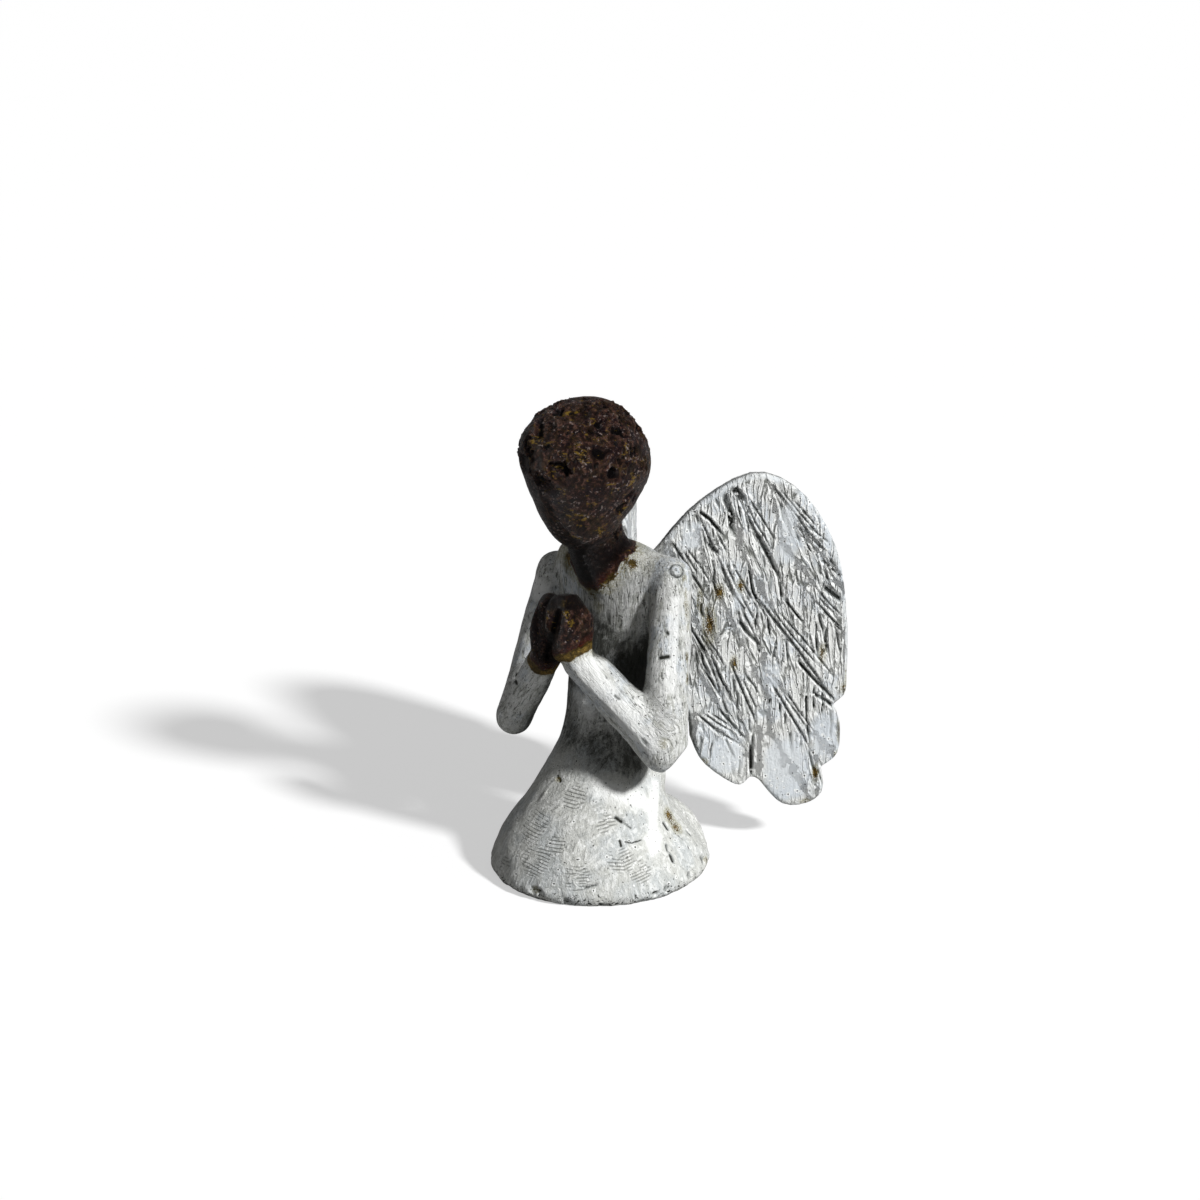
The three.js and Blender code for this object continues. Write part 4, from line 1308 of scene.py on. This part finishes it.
def whitePaint(tree, marks, streak, hole, strip):
    # Off-white over a dark ground, brushed thin, with a grey wash in the hollows
    place, grain, clouds, wing = marks["place"], marks["grain"], marks["clouds"], marks["wing"]
    up = tree.separated(place)[2]
    onRobe = tree.without(wing)
    upper = tree.ramp(up, 18.0, 25.0)
    chalkAndHighlight = tree.ramp(tree.plus(marks["chalkAndHighlight"], tree.minus(clouds, 0.5)), 0.15, 0.8)
    hairy = tree.times(onRobe, tree.plus(0.3, tree.times(upper, 0.7)), tree.without(chalkAndHighlight, 0.55))
    patches = tree.ramp(tree.noise(place, 0.17, 3.0, 0.5), 0.46, 0.62)
    coats = Coats(tree, whites, tree.mix(patches, whites["fresh"], whites["blue"]))
    low = tree.minus(0.5, tree.times(wing, 0.5))
    coats.lay(tree.math("SUBTRACT", low, tree.times(upper, 0.5), clamp=True), "worn")
    coats.lay(tree.times(tree.ramp(streak["Streak"], 0.46, 0.62), tree.plus(hairy, 0.2), 0.75), "worn")
    # Patches of strokes, each laid in a direction of its own
    warped = tree.vector("ADD", place, tree.vector("MULTIPLY", tree.colourNoise(place, 0.5), (2.0, 2.0, 2.0)))
    lots = tree.lots(tree.add("ShaderNodeTexVoronoi", {"Vector": warped, "Scale": 0.26}, feature="F1"))
    toFront = (0.67, -0.74, 0.0)
    turned = tree.turn(marks["brushed"], toFront, tree.times(tree.minus(lots["Red"], 0.2), 1.8))
    strokes = tree.noise(tree.vector("MULTIPLY", turned, (1.0, 1.0, 0.12)), 1.5, 4.0, 0.6)
    coats.lay(tree.times(onRobe, tree.ramp(strokes, 0.52, 0.58, 0.0, 0.45)), "lit")
    coats.lay(tree.times(onRobe, tree.ramp(strokes, 0.42, 0.36, 0.0, 0.35)), "wash")
    coats.lay(tree.times(hairy, tree.ramp(streak["Fibre"], 0.55, 0.63, 0.0, 0.85)), "line")
    coats.lay(tree.times(hairy, tree.ramp(streak["Fibre"], 0.44, 0.36, 0.0, 0.9)), "lit")
    # Thick white: a painted highlight in the lit tone on the robe, a bluer white on the wings
    thickWhiteAndHighlight = tree.mix(wing, whites["lit"], whites["blue"])
    coats.colour = tree.mix(tree.times(chalkAndHighlight, 0.7), coats.colour, thickWhiteAndHighlight)
    # Rows of short ridges left by a comb
    combTurn = tree.times(tree.minus(lots["Green"], 0.6), 0.5)
    comb = {"Vector": tree.turn(place, toFront, combTurn), "Scale": 0.72, "Distortion": 0.5, "Detail": 3.0}
    comb = tree.add("ShaderNodeTexWave", comb, wave_type="BANDS", bands_direction="Z").outputs["Fac"]
    combed = tree.times(tree.ramp(marks["combed"], 0.25, 0.5), tree.ramp(clouds, 0.4, 0.5))
    line = tree.times(combed, tree.ramp(comb, 0.05, 0.45, 1.0, 0.0))
    coats.lay(tree.times(line, 0.5), "line")
    # Strips on the wings, and a dark line along each quill
    carved = tree.times(wing, tree.without(chalkAndHighlight, 0.85), tree.ramp(up, 14.0, 34.0, 0.42, 1.0))
    ridge, cut = tree.times(carved, strip["Ridge"]), tree.times(carved, strip["Line"])
    coats.lay(tree.times(carved, tree.ramp(strip["Tone"], 0.5, 0.95, 0.0, 0.6)), "wash")
    coats.lay(tree.times(ridge, 0.9), "lit")
    coats.lay(tree.times(cut, 0.85), "line")
    below = tree.separated(marks["brushed"])[2]  # how far down from its quill
    past = tree.minus(below, tree.times(tree.minus(tree.noise(place, 0.4, 3.0), 0.4), 2.4))
    quill = tree.times(tree.ramp(below, 0.0, 0.08), tree.ramp(past, -0.12, 0.12, 1.0, 0.0))
    coats.lay(tree.times(carved, quill), "dirtAndShade")
    # Pinholes, whose pale rings are lost in the shelter of the body
    coats.lay(tree.times(hole["Ring"], 0.8, tree.ramp(marks["shelter"], 0.45, 0.25)), "lit")
    coats.lay(hole["Hole"], "dirtAndShade")
    # Grey wash and painted shade in the hollows, dark in the deepest, a painted highlight on raised edges,
    # painted shade where little open sky is seen, then dark specks and olive stains
    uneven = tree.plus(tree.swing(grain, 0.14), tree.swing(clouds, 0.12))
    deep = tree.plus(marks["hollow"], uneven)
    coats.lay(tree.ramp(deep, 0.03, 0.1, 0.0, 0.75), "wash")
    coats.lay(tree.ramp(deep, 0.1, 0.22), "dirtAndShade")
    coats.lay(tree.ramp(deep, -0.05, -0.14, 0.0, 0.85), "lit")
    sheltered = tree.plus(marks["shelter"], tree.times(uneven, 2.5), tree.swing(strokes, 0.8))
    coats.lay(tree.ramp(sheltered, 0.28, 0.8, 0.0, 0.95), "shade")
    specks = tree.plus(tree.noise(place, 2.6, 2.0, 0.5), tree.ramp(up, 2.5, 0.5, 0.0, 0.13))
    coats.lay(tree.ramp(specks, 0.68, 0.72), "dirtAndShade")
    stain = tree.math("MAXIMUM", tree.ramp(marks["bare"], 0.08, 0.4), tree.ramp(marks["skin"], -2.6, -0.6))
    coats.lay(tree.times(stain, tree.ramp(grain, 0.35, 0.6), 0.7), "olive")
    height = tree.times(tree.minus(0.5, tree.times(streak["Fibre"], 0.35)), hairy)
    height = tree.plus(height, tree.times(streak["Streak"], 0.15), tree.times(strokes, onRobe, 0.25))
    height = tree.minus(tree.plus(height, tree.times(ridge, 0.12)), tree.times(line, 0.1))
    height = tree.minus(tree.minus(height, tree.times(cut, 0.16)), tree.times(hole["Hole"], 0.15))
    return coats.colour, height


browns = {
    "warm": toned(52, 31, 24),
    "plum": toned(35, 19, 24),
    "lit": toned(126, 92, 78),
    "pale": toned(176, 160, 154),
    "deep": toned(5, 2, 3),
    "olive": toned(58, 45, 24),
    "ochre": toned(150, 122, 44),
    "rust": toned(104, 40, 20),
}


def brownPaint(tree, marks):
    # Aubergine over ochre, which shows in flecks
    place, grain, hollow = marks["place"], marks["grain"], marks["hollow"]
    up = tree.separated(place)[2]
    lumps = tree.noise(place, 0.6, 5.0, 0.65)
    crust = tree.noise(place, 1.5, 6.0, 0.75)
    patches = tree.noise(place, 0.33, 4.0, 0.6, 1.2)
    coats = Coats(tree, browns, tree.mix(tree.ramp(lumps, 0.42, 0.58), browns["warm"], browns["plum"]))
    coats.lay(tree.ramp(patches, 0.5, 0.6, 0.0, 0.6), "olive")
    coats.lay(tree.ramp(lumps, 0.46, 0.36, 0.0, 0.7), "deep")
    coats.lay(tree.ramp(crust, 0.54, 0.6, 0.0, 0.72), "lit")
    coats.lay(tree.ramp(crust, 0.48, 0.4, 0.0, 0.9), "deep")
    # Painted highlight on the raised rims of pits, painted shade in their hollows and in sheltered places
    deep = tree.plus(hollow, tree.swing(crust, 0.3))
    coats.lay(tree.ramp(deep, -0.1, -0.2, 0.0, 0.35), "lit")
    coats.lay(tree.ramp(deep, 0.03, 0.16), "deep")
    coats.lay(tree.ramp(marks["shelter"], 0.3, 0.6, 0.0, 0.95), "deep")
    chipped = tree.noise(tree.vector("MULTIPLY", place, (0.8, 0.8, 2.0)), 0.75, 5.0, 0.68, 0.8)
    chipped = tree.plus(chipped, tree.times(marks["bare"], 0.5))
    coats.lay(tree.times(tree.ramp(chipped, 0.62, 0.65), tree.ramp(crust, 0.47, 0.5), 0.85), "ochre")
    # Pale specks on raised lumps out of the hollows: painted glints
    glints = tree.times(tree.ramp(tree.noise(place, 2.2, 3.0, 0.6), 0.58, 0.63),
                        tree.ramp(lumps, 0.5, 0.56, 0.0, 0.95))
    coats.lay(tree.times(glints, tree.ramp(hollow, 0.0, 0.06, 1.0, 0.0)), "pale")
    # The neck is painted darker as painted shade under the head, and rusty where it meets the robe
    neck = tree.times(tree.ramp(tree.plus(up, tree.times(lumps, 6.0)), 58.0, 54.0),
                      tree.ramp(marks["skin"], 0.5, 1.4), tree.ramp(up, 44.0, 44.5))
    coats.lay(tree.times(neck, 0.85), "deep")
    rust = tree.times(tree.ramp(marks["skin"], 1.8, 0.2), tree.ramp(grain, 0.46, 0.54),
                      tree.ramp(up, 49.0, 46.5, 0.15, 1.0))
    coats.lay(tree.times(rust, 0.85), "rust")
    return coats.colour, tree.plus(tree.times(crust, 1.6), tree.times(grain, 0.12))


brasses = {
    "bright": toned(128, 104, 46),
    "dull": toned(84, 68, 26),
    "dark": toned(48, 36, 20),
}


def paintedCasting():
    material = bpy.data.materials.new("paintedCasting")
    material.use_nodes = True
    material.node_tree.nodes.clear()
    tree = Tree(material.node_tree)
    marks = marksOf(tree)
    place, grain, clouds = marks["place"], marks["grain"], marks["clouds"]

    def effect(group, **given):  # the outputs of a node group with these values
        return tree.add("ShaderNodeGroup", given, node_tree=group).outputs

    holes = {"Per Millimetre": 1.0, "Size": 0.14, "Share": tree.plus(0.3, tree.times(marks["wing"], 0.6))}
    hole = effect(pinholeGroup(), Place=place, **holes)
    streak = effect(streakGroup(), Brushed=marks["brushed"], **{"Per Millimetre": 1.1})
    strip = effect(stripGroup(), Brushed=marks["brushed"], Across=1.1, Along=0.14)
    white, whiteHeight = whitePaint(tree, marks, streak, hole, strip)
    brown, brownHeight = brownPaint(tree, marks)

    # Bare brass where both paints are worn off, and along the border between them
    patches = tree.ramp(tree.noise(place, 1.2, 3.0), 0.4, 0.6)
    brass = Coats(tree, brasses, tree.mix(patches, brasses["bright"], brasses["dull"]))
    brass.lay(tree.ramp(grain, 0.48, 0.64), "dark")
    edge = tree.plus(marks["skin"], tree.swing(tree.noise(place, 0.6, 3.0, 0.55), 1.6))
    onSkin = tree.ramp(edge, -0.08, 0.08)
    onCuff = tree.ramp(tree.separated(place)[1], -6.0, -4.5, 1.0, 0.0)
    outside = tree.plus(edge, tree.times(onCuff, 0.7))
    border = tree.times(tree.ramp(outside, -0.6, -0.3), tree.ramp(edge, 0.1, 0.5, 1.0, 0.0),
                        tree.math("MAXIMUM", onCuff, tree.ramp(clouds, 0.5, 0.58)))
    worn = tree.times(tree.ramp(marks["hollow"], -0.2, -0.12, 1.0, 0.0), tree.ramp(clouds, 0.5, 0.6),
                      tree.without(marks["wing"]))
    spots = tree.ramp(tree.plus(marks["bare"], tree.swing(grain, 1.6)), 0.5, 0.62)
    brassShare = tree.math("MAXIMUM", tree.math("MAXIMUM", border, spots), worn)
    colour = tree.mix(brassShare, tree.mix(onSkin, white, brown), brass.colour)

    height = {"Factor_Float": onSkin, "A_Float": whiteHeight, "B_Float": brownHeight}
    height = pick(tree.add("ShaderNodeMix", height, data_type="FLOAT").outputs, "Result_Float")
    height = tree.plus(height, tree.times(tree.noise(place, 3.0, 4.0, 0.6), 0.12))
    bump = tree.add("ShaderNodeBump", {"Strength": 1.0, "Distance": 1 * mm, "Height": height})
    gloss = tree.plus(tree.minus(0.65, tree.times(onSkin, 0.3)), tree.swing(grain, 0.3))
    shader = tree.add("ShaderNodeBsdfPrincipled", {
        "Base Color": colour,
        "Roughness": gloss,
        "Metallic": tree.times(brassShare, 0.35),
        "Specular IOR Level": 0.28,
        "Normal": bump.outputs["Normal"],
    })
    tree.add("ShaderNodeOutputMaterial", {"Surface": shader.outputs["BSDF"]})
    return material


angel = castAngel(paintedCasting())
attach(angel, "root")
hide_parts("angel")
stage("painted")


# Floor and light

studio = {
    "floorHalf": 3.0,
    "floor": {"seen": 0.55, "glow": 0.52, "bounce": 0.32},
    "key": {"azimuth": 90, "elevation": 36, "power": 4.1, "angle": 6},
    "sky": 0.12,
}


def addFloor():
    half = studio["floorHalf"]
    mesh = bpy.data.meshes.new("floor")
    corners = [(-half, -half, 0), (half, -half, 0), (half, half, 0), (-half, half, 0)]
    mesh.from_pydata(corners, [], [(0, 1, 2, 3)])
    floor = bpy.data.objects.new("floor", mesh)
    bpy.context.scene.collection.objects.link(floor)
    material = bpy.data.materials.new("paleFloor")
    material.use_nodes = True
    tree = Tree(material.node_tree)
    shader = material.node_tree.nodes["Principled BSDF"]
    tone = studio["floor"]
    seen = tree.add("ShaderNodeLightPath").outputs["Is Camera Ray"]
    greys = [(*[tone[name]] * 3, 1) for name in ("bounce", "seen")]
    tree.feed(shader.inputs["Base Color"], tree.mix(seen, *greys))
    for name, value in (("Roughness", 0.9), ("Specular IOR Level", 0.1), ("Emission Color", (1, 1, 1, 1))):
        shader.inputs[name].default_value = value
    tree.feed(shader.inputs["Emission Strength"], tree.math("MULTIPLY", seen, tone["glow"]))
    mesh.materials.append(material)


def addSun(name, lamp):
    data = bpy.data.lights.new(name, "SUN")
    data.energy = lamp["power"]
    data.angle = math.radians(lamp["angle"])
    sun = bpy.data.objects.new(name, data)
    away = outward(lamp["azimuth"], lamp["elevation"])
    sun.rotation_euler = away.to_track_quat("Z", "Y").to_euler()
    bpy.context.scene.collection.objects.link(sun)


def addSky():  # a dim pale room that is seen as white
    world = bpy.data.worlds.new("paleStudio")
    world.use_nodes = True
    tree = Tree(world.node_tree)
    seen = tree.add("ShaderNodeLightPath").outputs["Is Camera Ray"]
    room = world.node_tree.nodes["Background"]
    room.inputs["Color"].default_value = (1, 1, 1, 1)
    tree.feed(room.inputs["Strength"], tree.math("MAXIMUM", seen, studio["sky"]))
    bpy.context.scene.world = world


addFloor()
addSun("keyLight", studio["key"])
addSky()
bpy.context.scene.view_settings.view_transform = "Standard"
stage("floor and lights in place")
